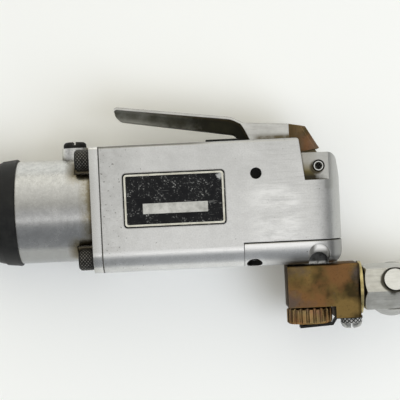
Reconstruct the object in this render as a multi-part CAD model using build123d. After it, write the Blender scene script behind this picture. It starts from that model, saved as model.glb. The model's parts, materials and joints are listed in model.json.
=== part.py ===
from build123d import *

import math
import os

# Air impact wrench with a lever throttle, lying on its side. Sizes are in millimetres.
# X runs from the square drive to the hose end, Y towards the lever, Z up from the surface it lies on.
# The origin is on that surface, under the middle of the air motor.
# Pieces are drawn from the rear face of the hammer case flange, about the motor axis, and moved to the
# origin when they are written.

# Clearances
press_gap = 0.02
fit_gap = 0.05
seam_gap = 0.2
run_gap = 0.3
wide_gap = 0.6

# Air motor
rotor_radius = 15.0
rotor_offset = 1.6
rotor_sweep_gap = 0.1
liner_wall = 1.7
liner_length = 36.0
end_plate_lip = 1.0
blade_count = 6
blade_thick = 1.8
blade_depth = 6.0
shaft_radius = 5.0
bearing_radius = 11.0
bearing_width = 6.0
bearing_race = 2.0
ball_count = 7
dowel_radius = 1.2
feed_radius = 2.2

# Impact mechanism
cage_rear_disc = 8.0
cage_front_disc = 3.5
cage_bar_width = 15.0
cage_bar_thick = 2.2
hammer_length = 10.5
hammer_gap = 0.4
hammer_pin_radius = 2.4
hammer_pin_wall = 1.0
hammer_notch = 0.8
hammer_lead = 75.0
hammer_lug_width = 5.0
anvil_radius = 7.0
anvil_jaw_height = 2.4
anvil_pilot_radius = 4.5
anvil_pilot_length = 2.4
anvil_collar = 4.0
drive_square = 9.525
drive_length = 11.5
retainer_width = 1.4
spline_teeth = 6
spline_depth = 5.0
spline_height = 1.1
spline_width = 2.0

# Hammer case and nose boot
case_wall = 4.8
case_front_wall = 3.2
case_nose = 24.0
case_nose_radius = 12.2
case_step = 1.4
bushing_wall = 3.0
spigot_length = 2.0
spigot_wall = 1.5
boot_stand = 1.1
boot_thick = 2.3
boot_bulge = 2.0
boot_lip_round = 0.8
boot_lip_length = 6.9
boot_edge_round = 0.7
boot_nose_round = 2.0

# Flange, gasket and screws
flange_thick = 4.0
gasket_thick = 0.5
screw_radius = 3.1
screw_head_radius = 4.75
screw_head_height = 6.0
screw_reach = 18.0
screw_edge_y = 5.5
screw_edge_z = 8.0
washer_thick = 0.8
scallop_radius = 6.2
hex_key = 4.76
hex_key_depth = 3.0

# Oil plug on the hammer case
plug_setback = 11.9
plug_boss_radius = 6.0
plug_boss_height = 4.9
plug_radius = 3.0
plug_head_radius = 5.2
plug_head_height = 2.8
plug_head_round = 1.7
plug_slot = 1.4

# Motor housing
housing_top = 27.5
housing_bottom = 28.5
housing_width = 50.0
housing_edge_round = 1.2
housing_belly_round = 9.5
housing_rear_round = 14.0
housing_heel_round = 7.0
valve_block = 54.7

# Name plate
plate_length = 45.0
plate_height = 24.0
plate_thick = 0.5
plate_corner = 1.5
plate_setback = 9.8
plate_rise = 3.1

# Throttle lever, pivoted between two ears at the rear of the housing
pin_setback = 9.7
pin_drop = 12.7
pin_radius = 2.2
pin_bore = 1.3
pin_sink = 0.5
ear_drop = 6.7
ear_floor_drop = 18.8
ear_depth = 3.0
ear_length = 16.2
ear_round = 4.5
ear_lean = 2.1
wall_round = 1.5
lever_width = 17.0
lever_web = 10.0
lever_plate = 1.1
lever_reach = 89.9
lever_tip_rise = 18.2
lever_tip_height = 6.0
lever_tip_round = 1.2
lever_tip_heel = 4.5
lever_crest_rise = 11.3
lever_crest_reach = 37.2
lever_crest_round = 10.0
lever_paddle_depth = 8.1
lever_neck_round = 3.2
lever_shoulder_reach = 29.1
lever_shoulder_lean = 1.8
lever_shoulder_sweep = 4.3
lever_step = 5.2
lever_flat_rise = 8.5
lever_flat_length = 22.9
lever_neck_reach = 34.4
lever_flat_fall = 1.4
lever_neck_depth = 3.5
tongue_width = 9.0
tongue_radius = 5.5
tongue_cover = 3.4
heel_length = 7.6
heel_back = 2.0
heel_drop = 4.4
heel_bevel = 1.8
slot_depth = 9.2
slot_lead = 2.3
tongue_lead = 6.0
stop_length = 12.6
stop_width = 30.0
stop_height = 1.3
stop_round = 0.5

# Throttle valve under the lever
plunger_reach = 21.5
plunger_radius = 3.0
plunger_lift = 0.1
plunger_round = 2.6
plunger_seal_drop = 3.0
plunger_seal_width = 1.5
plunger_seal_depth = 0.75
valve_bushing_radius = 6.0
valve_bushing_length = 15.3
valve_head_radius = 4.5
valve_head_thick = 2.5
valve_stem_radius = 1.5
valve_chamber = 15.0
cross_pin_radius = 2.5
cross_pin_drop = 14.8
cross_pin_bite = 2.1
cross_pin_sink = 8.0
throttle_coil_radius = 3.6
throttle_wire_radius = 0.45
throttle_turns = 5

# Exhaust cover under the rear of the housing
cover_length = 44.2
cover_height = 10.9
cover_wall = 2.0
cover_edge_round = 0.8
cover_cavity = 20.0
exhaust_radius = 3.5
exhaust_angle = 60.0
exhaust_inset = 1.0
spot_radius = 4.8
spot_depth = 6.0
spot_drop = 2.4
mouth_radius = 4.4
mouth_drop = 3.6

# Air inlet nipple
nipple_setback = 11.2
nipple_thread_radius = 6.6
nipple_engage = 11.0
nipple_block_engage = 4.6
nipple_hex = 17.46
nipple_pad = 4.2
nipple_bore = 4.2
screen_thick = 1.0
screen_holes = 6
screen_hole_radius = 0.7

# Regulator
block_gap = 0.9
block_left = 13.7
block_right = 18.8
block_width = 24.0
block_floor = 3.8
block_edge_round = 0.8
block_round = 2.0
wheel_offset = 3.8
wheel_radius = 10.3
wheel_thick = 7.2
wheel_stand = 2.4
wheel_ridges = 20
wheel_groove = 0.8
wheel_floor = 2.4
spindle_radius = 7.5
spindle_length = 8.6
spindle_stub = 3.0
spindle_stub_length = 3.6
spindle_groove_rise = 2.1
spindle_groove_width = 1.5
spindle_groove_depth = 1.2
leaf_width = 8.0
leaf_thick = 1.0
leaf_tip_reach = 4.6
leaf_sag = 0.8
leaf_dimple = 1.5
detent_screw_inset = 3.6
detent_screw_radius = 2.0
detent_screw_wall = 1.0
detent_head_radius = 4.8
detent_head_height = 4.6
detent_head_round = 2.6

# Hose swivel
swivel_drop = 11.6
swivel_lean = -20.0
swivel_hex = 19.05
hex_chamfer = 0.3
gland_radius = 9.0
gland_length = 7.8
gland_flange_radius = 12.0
gland_flange_thick = 1.4
swivel_seal_width = 3.3
swivel_neck = 0.9
swivel_spigot_radius = 5.5
swivel_bore = 3.2
swivel_pin_reach = 13.9
swivel_pin_radius = 5.0
swivel_pin_head = 7.5
swivel_pin_head_thick = 2.2
clip_thick = 1.2
clip_depth = 0.9
eye_radius = 11.5
eye_thick = 9.9
tail_neck_radius = 7.5
tail_neck = 17.5
tail_hex_length = 14.0
inlet_radius = 5.75
inlet_depth = 11.0

# Places along X that follow from the sizes above
cage_rear = -run_gap
hammer_rear = cage_rear - cage_rear_disc - hammer_gap
hammer_front = hammer_rear - 2 * hammer_length - hammer_gap
cage_front = hammer_front - hammer_gap - cage_front_disc
case_floor = cage_front - wide_gap
barrel_front = case_floor - case_front_wall
nose_front = barrel_front - case_nose
boot_front = nose_front - boot_thick
anvil_shoulder = boot_front - anvil_collar
end_plate_thick = bearing_width + end_plate_lip
liner_front = spigot_length + end_plate_thick
liner_rear = liner_front + liner_length
motor_floor = liner_rear + end_plate_thick
origin_x = (liner_front + liner_rear) / 2
exhaust_x = liner_rear - end_plate_thick
housing_rear = motor_floor + valve_block
pivot_x = housing_rear - pin_setback
valve_x = pivot_x - plunger_reach
nipple_x = housing_rear - nipple_setback
cover_front = housing_rear - cover_length
wheel_x = nipple_x - wheel_offset
block_x0 = nipple_x - block_left
block_x1 = nipple_x + block_right
gland_face = block_x1 + gland_flange_thick
hex_left = gland_face + swivel_neck
swivel_pin_x = hex_left + swivel_pin_reach
tail_end = swivel_pin_x + tail_neck + tail_hex_length

# Heights along Y and radii that follow
half_width = housing_width / 2
motor_bore = rotor_radius + 2 * rotor_offset + rotor_sweep_gap + liner_wall
exhaust_y = -(motor_bore + housing_bottom) / 2
case_bore = motor_bore - spigot_wall
cage_radius = case_bore - wide_gap
case_radius = case_bore + case_wall
bushing_radius = anvil_radius + bushing_wall
hammer_pin_circle = cage_radius - hammer_pin_radius - hammer_pin_wall
hammer_radius = hammer_pin_circle - hammer_notch
hammer_bore = anvil_radius + anvil_jaw_height + run_gap
screw_y = housing_top - screw_edge_y
screw_z = half_width - screw_edge_z
head_x = -flange_thick - washer_thick
scallop_x = head_x - screw_head_height - wide_gap
pivot_y = housing_top - pin_drop
ear_top = housing_top - ear_drop
ear_floor = housing_top - ear_floor_drop
ear_half = half_width - ear_depth
slot_half = lever_width / 2 + run_gap
slot_floor = housing_top - slot_depth
lever_under = housing_top - lever_neck_depth
neck_x = pivot_x - lever_neck_reach
bushing_foot = slot_floor - valve_bushing_length
chamber_floor = bushing_foot - valve_chamber
cross_pin_x = valve_x - valve_bushing_radius - cross_pin_radius + cross_pin_bite
cross_pin_y = housing_top - cross_pin_drop
seam_y = cover_height - housing_bottom
pad_y = seam_y - nipple_pad
block_top = -housing_bottom - block_gap
swivel_y = block_top - swivel_drop
block_foot = swivel_y - gland_radius - block_floor
wheel_foot = block_foot - wheel_stand
wheel_top = wheel_foot + wheel_thick
block_step = wheel_top + wide_gap
detent_screw_top = swivel_y - gland_radius - detent_screw_wall
detent_screw_x = block_x1 - detent_screw_inset
plug_x = -plug_setback
boss_top = case_radius + plug_boss_height

FROM_BASE = (Align.CENTER, Align.CENTER, Align.MIN)


def rod_x(x0, x1, radius, y=0.0, z=0.0):
    """Round bar along X."""
    return Pos(x0, y, z) * Rot(0, 90, 0) * Cylinder(radius, x1 - x0, align=FROM_BASE)


def rod_y(y0, y1, radius, x, z=0.0):
    """Round bar along Y."""
    return Pos(x, y0, z) * Rot(-90, 0, 0) * Cylinder(radius, y1 - y0, align=FROM_BASE)


def rod_z(z0, z1, radius, x, y):
    """Round bar along Z."""
    return Pos(x, y, z0) * Cylinder(radius, z1 - z0, align=FROM_BASE)


def ring_x(x0, x1, outer, inner, y=0.0, z=0.0):
    """Plain ring about an axis along X."""
    return rod_x(x0, x1, outer, y, z) - rod_x(x0, x1, inner, y, z)


def block(x0, x1, y0, y1, z0, z1):
    """Box between two corners."""
    return Pos((x0 + x1) / 2, (y0 + y1) / 2, (z0 + z1) / 2) * Box(x1 - x0, y1 - y0, z1 - z0)


def hex_x(x0, x1, across_flats):
    """Hexagonal bar along X with two flats square to Z."""
    section = RegularPolygon(across_flats / 2, 6, major_radius=False)
    return extrude(Plane.YZ.offset(x0) * section, x1 - x0)


def hex_ends(x0, x1, across_flats):
    """Turned form that chamfers the corners of a hexagonal bar at both ends."""
    tip = across_flats / math.sqrt(3)
    face = across_flats / 2 - hex_chamfer
    run = (tip - face) * math.tan(math.radians(30))
    return turned([(x0, 0), (x0, face), (x0 + run, tip), (x1 - run, tip), (x1, face), (x1, 0)])


def turned(corners):
    """Solid of revolution about X from (x, radius) corners."""
    return revolve(make_face(Polyline(corners, close=True)), Axis.X)


def round_corner(face, corner, radius):
    """Rounds the corner of a flat outline nearest to a point."""
    return fillet(face.vertices().sort_by_distance(corner)[0], radius)


def slab(face, half):
    """Flat outline in XY made into a plate centred on the motor plane."""
    return extrude(face, half, both=True)


def four_corners():
    """Places of the four case screws, as (y, z)."""
    return [(y, z) for y in (-screw_y, screw_y) for z in (-screw_z, screw_z)]


def body_section():
    """Cross-section that the housing, the gasket and the case flange share."""
    outline = Rectangle(housing_top + housing_bottom, housing_width)
    outline = Pos((housing_top - housing_bottom) / 2, 0) * outline
    outline = fillet(outline.vertices().group_by(Axis.X)[0], housing_belly_round)
    return fillet(outline.vertices().group_by(Axis.X)[-1], housing_edge_round)


def body_bar(x0, x1):
    """Bar of the shared cross-section along X."""
    return extrude(Plane.YZ.offset(x0) * body_section(), x1 - x0)


def side_outline():
    """Housing seen from the side: the wall top, the ear behind it and the rounded heel."""
    wall_x = housing_rear - ear_length
    corners = [
        (gasket_thick, -housing_bottom),
        (housing_rear, -housing_bottom),
        (housing_rear, ear_floor),
        (housing_rear - ear_lean, ear_top),
        (wall_x - ear_lean / 2, ear_top),
        (wall_x - ear_lean, housing_top),
        (gasket_thick, housing_top),
    ]
    face = make_face(Polyline(corners, close=True))
    face = round_corner(face, corners[1], housing_heel_round)
    face = round_corner(face, corners[3], ear_round)
    return round_corner(face, corners[5], wall_round)


def housing_envelope():
    """Outer form of the housing and its exhaust cover together."""
    plan = Pos(housing_rear / 2, 0) * Rectangle(housing_rear, housing_width)
    plan = fillet(plan.vertices().group_by(Axis.X)[-1], housing_rear_round)
    plan_bar = extrude(Plane.XZ * plan, housing_bottom + housing_top, both=True)
    return body_bar(gasket_thick, housing_rear) & slab(side_outline(), half_width) & plan_bar


def ear_pockets():
    """Flats milled on the outer sides of the two ears."""
    wall_x = housing_rear - ear_length
    corners = [
        (wall_x, ear_floor),
        (housing_rear + wide_gap, ear_floor),
        (housing_rear + wide_gap, housing_top),
        (wall_x - ear_lean, housing_top),
    ]
    face = make_face(Polyline(corners, close=True))
    return slab(face, half_width) - slab(face, ear_half)


def lever_slot():
    """Slot between the side walls that the lever drops into."""
    tongue_front = pivot_x - tongue_radius - tongue_lead - run_gap
    rear = housing_rear + wide_gap
    above = housing_top + wide_gap
    shallow = block(neck_x - slot_lead, rear, slot_floor, above, -slot_half, slot_half)
    deep_floor = pivot_y - tongue_radius - run_gap
    return shallow + block(tongue_front, rear, deep_floor, above, -slot_half, slot_half)


def housing_air_ways():
    """Bores from the inlet past the throttle valve to the motor, and from the motor to the exhaust."""
    port_y = bushing_foot + feed_radius + fit_gap
    end_port_y = (bearing_radius + motor_bore) / 2
    cross_y = chamber_floor + feed_radius + end_plate_lip
    ways = rod_y(chamber_floor, slot_floor, valve_bushing_radius + fit_gap, valve_x)
    ways += rod_x(motor_floor, valve_x, feed_radius, port_y)
    ways += block(motor_floor, motor_floor + 2 * feed_radius, port_y - feed_radius,
                  end_port_y + feed_radius, -feed_radius, feed_radius)
    ways += rod_x(valve_x, nipple_x, feed_radius, cross_y)
    ways += rod_y(seam_y, seam_y + nipple_engage, nipple_thread_radius + fit_gap, nipple_x)
    ways += rod_x(exhaust_x, cover_front, feed_radius, exhaust_y)
    return ways + rod_y(exhaust_y, -rotor_radius, feed_radius, exhaust_x)


def pin_sinks():
    """Countersinks of the lever pin's hole on the outer sides of the ears."""
    sink = Cone(pin_radius, pin_radius + pin_sink, pin_sink, align=FROM_BASE)
    level = ear_half - pin_sink
    return [Pos(pivot_x, pivot_y, side * level) * Rot(90 - 90 * side, 0, 0) * sink for side in (1, -1)]


def motor_housing():
    body = housing_envelope()
    body -= block(cover_front, housing_rear, -housing_bottom, seam_y, -half_width, half_width)
    body -= ear_pockets()
    body -= lever_slot()
    body -= rod_x(gasket_thick, motor_floor, motor_bore + fit_gap)
    body -= housing_air_ways()
    body -= rod_z(-half_width, half_width, cross_pin_radius, cross_pin_x, cross_pin_y)
    body -= rod_z(-half_width, half_width, pin_radius + press_gap, pivot_x, pivot_y)
    body -= pin_sinks()
    for y, z in four_corners():
        body -= rod_x(gasket_thick, screw_reach + wide_gap, screw_radius + fit_gap, y, z)
    return body


def flange_gasket():
    sheet = body_bar(0, gasket_thick) - rod_x(0, gasket_thick, motor_bore + fit_gap)
    for y, z in four_corners():
        sheet -= rod_x(0, gasket_thick, screw_radius + run_gap, y, z)
    return sheet


def nose_face(stand, corners):
    """Half section behind a curved nose line that stands off the case nose, closed by straight corners."""
    slope_x, slope_r = nose_front - barrel_front, case_nose_radius - case_radius + case_step
    length = math.hypot(slope_x, slope_r)
    rear = (barrel_front, case_radius - case_step + stand)
    front = (nose_front - stand, case_nose_radius + stand)
    middle_x = (rear[0] + front[0]) / 2 + boot_bulge * slope_r / length
    middle_r = (rear[1] + front[1]) / 2 - boot_bulge * slope_x / length
    curve = ThreePointArc(rear, (middle_x, middle_r), front)
    return make_face(curve + Polyline(front, *corners, rear))


def hammer_case():
    nose = nose_face(0, [(nose_front, 0), (barrel_front, 0)])
    body = rod_x(barrel_front, 0, case_radius) + revolve(nose, Axis.X)
    body += rod_y(0, boss_top, plug_boss_radius, plug_x)
    for y, z in four_corners():
        body -= rod_x(scallop_x, -flange_thick, scallop_radius, y, z)
    body += body_bar(-flange_thick, 0)
    body += rod_x(0, spigot_length, motor_bore)
    body -= rod_x(case_floor, spigot_length, case_bore)
    body -= rod_x(nose_front, case_floor, bushing_radius + press_gap)
    body -= rod_y(0, boss_top, plug_radius + fit_gap, plug_x)
    for y, z in four_corners():
        body -= rod_x(-flange_thick, 0, screw_radius + run_gap, y, z)
    return body


def nose_boot():
    hole = anvil_radius + wide_gap
    outer = nose_face(boot_thick, [(boot_front, 0), (barrel_front, 0)])
    inner = nose_face(fit_gap, [(nose_front - fit_gap, 0), (barrel_front, 0)])
    lip = turned([
        (barrel_front, case_radius - case_step + fit_gap),
        (barrel_front, case_radius + boot_stand),
        (barrel_front - boot_lip_length, case_radius + boot_stand - boot_lip_round),
        (barrel_front - boot_lip_length, case_radius - case_step),
    ])
    body = revolve(outer, Axis.X) + lip
    rims = body.edges().filter_by(GeomType.CIRCLE).group_by(Axis.X)
    body = fillet(rims[-1].sort_by(SortBy.RADIUS)[-1], boot_edge_round)
    rims = body.edges().filter_by(GeomType.CIRCLE).group_by(Axis.X)
    body = fillet(rims[0].sort_by(SortBy.RADIUS)[-1], boot_nose_round)
    body -= revolve(inner, Axis.X)
    return body - rod_x(boot_front, barrel_front, hole)


def case_screws():
    screws = []
    for y, z in four_corners():
        screw = rod_x(head_x - screw_head_height, head_x, screw_head_radius, y, z)
        screw = chamfer(screw.edges().group_by(Axis.X)[0], boot_lip_round)
        key = Pos(0, y, z) * hex_x(head_x - screw_head_height, head_x - hex_key_depth, hex_key)
        screws.append(screw - key + rod_x(head_x, screw_reach, screw_radius, y, z))
    return screws


def case_lock_washers():
    inner = screw_radius + fit_gap
    return [ring_x(head_x, -flange_thick, screw_head_radius, inner, y, z) for y, z in four_corners()]


def oil_plug():
    head = rod_y(boss_top, boss_top + plug_head_height, plug_head_radius, plug_x)
    head = fillet(head.edges().group_by(Axis.Y)[-1], plug_head_round)
    slot_foot = boss_top + plug_head_height / 2
    slot_x0 = plug_x - plug_slot / 2
    head -= block(slot_x0, slot_x0 + plug_slot, slot_foot, boss_top + plug_head_height,
                  -plug_head_radius, plug_head_radius)
    return head + rod_y(case_bore, boss_top, plug_radius, plug_x)


def name_plate():
    outline = RectangleRounded(plate_length, plate_height, plate_corner)
    middle_x = gasket_thick + plate_setback + plate_length / 2
    return Pos(middle_x, plate_rise, half_width) * extrude(outline, plate_thick)


def lever_profile():
    """Side outline of the lever from its paddle tip to the end of its flat."""
    tip_x, tip_y = pivot_x - lever_reach, housing_top + lever_tip_rise
    crest_x, crest_y = pivot_x - lever_crest_reach, housing_top + lever_crest_rise
    flat_x = neck_x + lever_flat_length
    flat_y = housing_top + lever_flat_rise
    corners = [
        (tip_x, tip_y - lever_tip_height),
        (tip_x, tip_y),
        (crest_x, crest_y),
        (crest_x + lever_step, flat_y),
        (flat_x, flat_y - lever_flat_fall),
        (flat_x, lever_under),
        (neck_x, lever_under),
        (neck_x, crest_y - lever_paddle_depth),
    ]
    return corners


def lever_face():
    corners = lever_profile()
    face = make_face(Polyline(corners, close=True))
    face = round_corner(face, corners[7], lever_neck_round)
    face = round_corner(face, corners[6], wall_round)
    face = round_corner(face, corners[3], lever_step)
    face = round_corner(face, corners[2], lever_crest_round)
    face = round_corner(face, corners[1], lever_tip_round)
    return round_corner(face, corners[0], lever_tip_heel)


def shoulder_face():
    """Outline of all behind the curved shoulder, where the lever is as wide as its paddle."""
    flat_y = housing_top + lever_flat_rise
    above = flat_y + lever_step
    foot_x = pivot_x - lever_shoulder_reach
    foot = (foot_x, housing_top)
    middle = (foot_x - lever_shoulder_lean, housing_top + lever_flat_rise / 2)
    top = (foot_x - lever_shoulder_sweep, flat_y)
    corners = [
        top,
        (top[0], above),
        (housing_rear, above),
        (housing_rear, lever_under),
        (foot_x, lever_under),
        foot,
    ]
    return make_face(ThreePointArc(foot, middle, top) + Polyline(corners))


def tongue_face():
    """Arm of the lever that goes down between the ears to the pin."""
    flat_x = neck_x + lever_flat_length
    top = housing_top + lever_flat_rise - lever_flat_fall - tongue_cover
    corners = [
        (flat_x - tongue_cover, top),
        (pivot_x - tongue_radius, top),
        (pivot_x + tongue_radius, pivot_y),
        (pivot_x - tongue_radius, pivot_y),
        (flat_x - tongue_cover, lever_under),
    ]
    return make_face(Polyline(corners, close=True)) + Pos(pivot_x, pivot_y) * Circle(tongue_radius)


def throttle_lever():
    """Paddle with a wide top plate on a narrower web, a neck, a wide flat and a tongue to the pin."""
    face = lever_face()
    half = lever_width / 2
    plate = slab(face - Pos(0, -lever_plate) * face, half)
    lever = slab(face, lever_web / 2) + plate + slab(face & shoulder_face(), half)
    lever += slab(tongue_face(), tongue_width / 2)
    return lever - rod_z(-half, half, pin_radius + fit_gap, pivot_x, pivot_y)


def lever_stop():
    """Strip on the housing in front of the lever's slot and beside it, which the paddle lands on."""
    slot_x = neck_x - slot_lead
    top = housing_top + stop_height
    half = stop_width / 2
    strip = block(slot_x - stop_length, neck_x, housing_top, top, -half, half)
    strip -= block(slot_x, neck_x, housing_top, top, -slot_half, slot_half)
    return fillet(strip.edges().group_by(Axis.Y)[-1], stop_round)


def lever_heel():
    """Bronze saddle over the lever's tongue, as wide as the lever's flat."""
    flat_x = neck_x + lever_flat_length
    flat_y = housing_top + lever_flat_rise - lever_flat_fall
    corners = [
        (flat_x, flat_y),
        (flat_x + heel_length, flat_y - lever_flat_fall),
        (pivot_x + heel_back, housing_top - heel_drop),
        (pivot_x - tongue_radius - lever_flat_fall, housing_top - heel_drop - lever_flat_fall),
        (flat_x, lever_under),
    ]
    half = lever_width / 2
    saddle = slab(make_face(Polyline(corners, close=True)), half)
    slope_x = (corners[1][0] + corners[2][0]) / 2
    slope_y = (corners[1][1] + corners[2][1]) / 2
    rims = [saddle.edges().sort_by_distance((slope_x, slope_y, z))[0] for z in (-half, half)]
    saddle = chamfer(rims, heel_bevel)
    return saddle - slab(tongue_face(), tongue_width / 2 + press_gap)


def lever_pin():
    pin = rod_z(-ear_half, ear_half, pin_radius, pivot_x, pivot_y)
    return pin - rod_z(-ear_half, ear_half, pin_bore, pivot_x, pivot_y)


def cross_pin():
    reach = half_width - cross_pin_sink
    return rod_z(-reach, reach, cross_pin_radius - press_gap, cross_pin_x, cross_pin_y)


def throttle_bushing():
    body = rod_y(bushing_foot, slot_floor, valve_bushing_radius, valve_x)
    body -= rod_y(bushing_foot, slot_floor, plunger_radius + fit_gap, valve_x)
    mouth = bushing_foot + 2 * feed_radius + 2 * fit_gap
    body -= rod_y(bushing_foot, mouth, plunger_radius + feed_radius / 2, valve_x)
    body -= rod_x(cross_pin_x, valve_x, feed_radius, bushing_foot + feed_radius + fit_gap)
    reach = valve_bushing_radius
    return body - rod_z(-reach, reach, cross_pin_radius + fit_gap, cross_pin_x, cross_pin_y)


def throttle_plunger():
    top = lever_under - plunger_lift
    foot = bushing_foot + 2 * feed_radius
    body = rod_y(foot, top, plunger_radius, valve_x)
    body = fillet(body.edges().group_by(Axis.Y)[-1], plunger_round)
    return body - plunger_seal()


def plunger_seal():
    """Ring in a groove of the plunger, the same section as its groove."""
    y0 = slot_floor - plunger_seal_drop
    y1 = y0 + plunger_seal_width
    inner = plunger_radius - plunger_seal_depth
    return rod_y(y0, y1, plunger_radius, valve_x) - rod_y(y0, y1, inner, valve_x)


def throttle_valve():
    top = bushing_foot - seam_gap
    head = rod_y(top - valve_head_thick, top, valve_head_radius, valve_x)
    return head + rod_y(top, bushing_foot + 2 * feed_radius, valve_stem_radius, valve_x)


def coil_path(radius, pitch, turns):
    """Rising coil about Z as half-turn arcs, each through a point a quarter turn on."""
    arcs = []
    for half_turn in range(2 * turns):
        points = []
        for quarter in range(3):
            angle = math.pi * half_turn + math.pi * quarter / 2
            rise = pitch * angle / (2 * math.pi)
            points.append((radius * math.cos(angle), radius * math.sin(angle), rise))
        arcs.append(ThreePointArc(*points))
    return Wire(arcs)


def least_gap(path, turns, wire_radius):
    """Least clear gap of a coil to itself, measured on points over half a turn apart."""
    steps = 24 * turns
    points = [path @ (step / steps) for step in range(steps + 1)]
    apart = 14
    gaps = [(points[j] - points[i]).length for i in range(steps) for j in range(i + apart, steps + 1)]
    return min(gaps) - 2 * wire_radius


def throttle_spring():
    """Compression spring between the valve head and the chamber floor."""
    top = bushing_foot - seam_gap - valve_head_thick
    room = top - chamber_floor - 2 * throttle_wire_radius - 2 * seam_gap
    path = coil_path(throttle_coil_radius, room / throttle_turns, throttle_turns)
    print("throttle spring least gap", round(least_gap(path, throttle_turns, throttle_wire_radius), 3))
    section = Plane(path @ 0, z_dir=path % 0) * Circle(throttle_wire_radius)
    wire = sweep(section, path)
    return Pos(valve_x, chamber_floor + throttle_wire_radius + seam_gap, 0) * Rot(-90, 0, 0) * wire


def exhaust_port(side):
    """Round exhaust hole through the rounded lower edge, on the side given by its sign."""
    slope = math.radians(exhaust_angle)
    centre_y = housing_belly_round - housing_bottom
    centre_z = side * (half_width - housing_belly_round)
    aim = (0, -math.sin(slope), side * math.cos(slope))
    start = (cover_front + exhaust_radius + exhaust_inset, centre_y, centre_z)
    return Plane(start, z_dir=aim) * Cylinder(exhaust_radius, 2 * housing_belly_round, align=FROM_BASE)


def exhaust_cover():
    x0, top = cover_front + seam_gap, seam_y - seam_gap
    body = housing_envelope() & block(x0, housing_rear, -housing_bottom, top, -half_width, half_width)
    body = fillet(body.edges().group_by(Axis.Y)[-1], cover_edge_round)
    body -= block(x0 + cover_wall, x0 + cover_wall + cover_cavity, cover_wall - housing_bottom, top,
                  housing_belly_round - half_width, half_width - housing_belly_round)
    body -= rod_y(pad_y, top, nipple_thread_radius + run_gap, nipple_x)
    body -= rod_y(-housing_bottom, pad_y, nipple_hex / math.sqrt(3) + wide_gap, nipple_x)
    body -= rod_x(x0, x0 + cover_cavity / 2, feed_radius, exhaust_y)
    body -= exhaust_port(1) + exhaust_port(-1)
    spot_y = pad_y - spot_drop
    body -= rod_z(half_width - spot_depth, half_width, spot_radius, nipple_x, spot_y)
    return body - rod_z(nipple_hex / 2, half_width, mouth_radius, nipple_x, spot_y - mouth_drop)


def inlet_nipple():
    foot = block_top + seam_gap
    section = RegularPolygon(nipple_hex / 2, 6, major_radius=False)
    plane = Plane((nipple_x, foot, 0), x_dir=(1, 0, 0), z_dir=(0, 1, 0))
    body = extrude(plane * section, pad_y - seam_gap - foot)
    top = seam_y + nipple_engage - wide_gap
    low = block_top - nipple_block_engage
    body += rod_y(low, top, nipple_thread_radius, nipple_x)
    body -= rod_y(low, top, nipple_bore, nipple_x)
    return body - rod_y(top - screen_thick, top, nipple_bore + fit_gap + screen_thick, nipple_x)


def inlet_screen():
    top = seam_y + nipple_engage - wide_gap
    disc = rod_y(top - screen_thick, top, nipple_bore + screen_thick, nipple_x)
    circle = nipple_bore / 2
    for turn in range(screen_holes):
        angle = 2 * math.pi * turn / screen_holes
        x, z = nipple_x + circle * math.cos(angle), circle * math.sin(angle)
        disc -= rod_y(top - screen_thick, top, screen_hole_radius, x, z)
    return disc - rod_y(top - screen_thick, top, screen_hole_radius, nipple_x)


def regulator_body():
    half = block_width / 2
    step_x = wheel_x + wheel_radius + wide_gap + run_gap
    corners = [
        (block_x0, block_top),
        (block_x1, block_top),
        (block_x1, block_foot),
        (step_x, block_foot),
        (step_x, block_step),
        (block_x0, block_step),
    ]
    body = slab(make_face(Polyline(corners, close=True)), half)
    body = fillet(body.edges().filter_by(Axis.Y).group_by(Axis.X)[-1], block_round)
    body = fillet(body.edges().filter_by(Axis.X).group_by(Axis.Y)[-1], block_edge_round)
    low = block_top - nipple_block_engage - run_gap
    body -= rod_y(low, block_top, nipple_thread_radius + fit_gap, nipple_x)
    body -= rod_y(swivel_y, low, nipple_bore, nipple_x)
    inner = block_x1 - gland_length - run_gap
    body -= rod_x(inner, block_x1, gland_radius + fit_gap, swivel_y)
    body -= rod_x(nipple_x, inner, swivel_spigot_radius + clip_depth + wide_gap + run_gap, swivel_y)
    body -= rod_y(block_step, wheel_top + wide_gap + spindle_length, spindle_radius + fit_gap, wheel_x)
    hole_top = detent_screw_top + run_gap
    return body - rod_y(block_foot, hole_top, detent_screw_radius + fit_gap, detent_screw_x)


def regulator_wheel():
    body = rod_y(wheel_foot, wheel_top, wheel_radius, wheel_x)
    body = chamfer(body.edges().filter_by(GeomType.CIRCLE), wheel_groove)
    for turn in range(wheel_ridges):
        angle = math.radians(360 / wheel_ridges * (turn + 0.5))
        x = wheel_x + wheel_radius * math.cos(angle)
        body -= rod_y(wheel_foot, wheel_top, wheel_groove, x, wheel_radius * math.sin(angle))
    return body - rod_y(wheel_foot + wheel_floor, wheel_top, spindle_stub + press_gap, wheel_x)


def regulator_spindle():
    """Plug that throttles the air by a groove of growing depth in its top."""
    top = wheel_top + spindle_length
    body = rod_y(wheel_top, top, spindle_radius, wheel_x)
    body += rod_y(wheel_top - spindle_stub_length, wheel_top, spindle_stub, wheel_x)
    body -= spindle_seal()
    return body - rod_y(top - nipple_bore / 2, top, nipple_bore, wheel_x + spindle_radius / 2)


def spindle_seal():
    """Ring in a groove of the spindle, the same section as its groove."""
    y0 = block_step + spindle_groove_rise
    y1 = y0 + spindle_groove_width
    inner = spindle_radius - spindle_groove_depth
    return rod_y(y0, y1, spindle_radius, wheel_x) - rod_y(y0, y1, inner, wheel_x)


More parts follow.
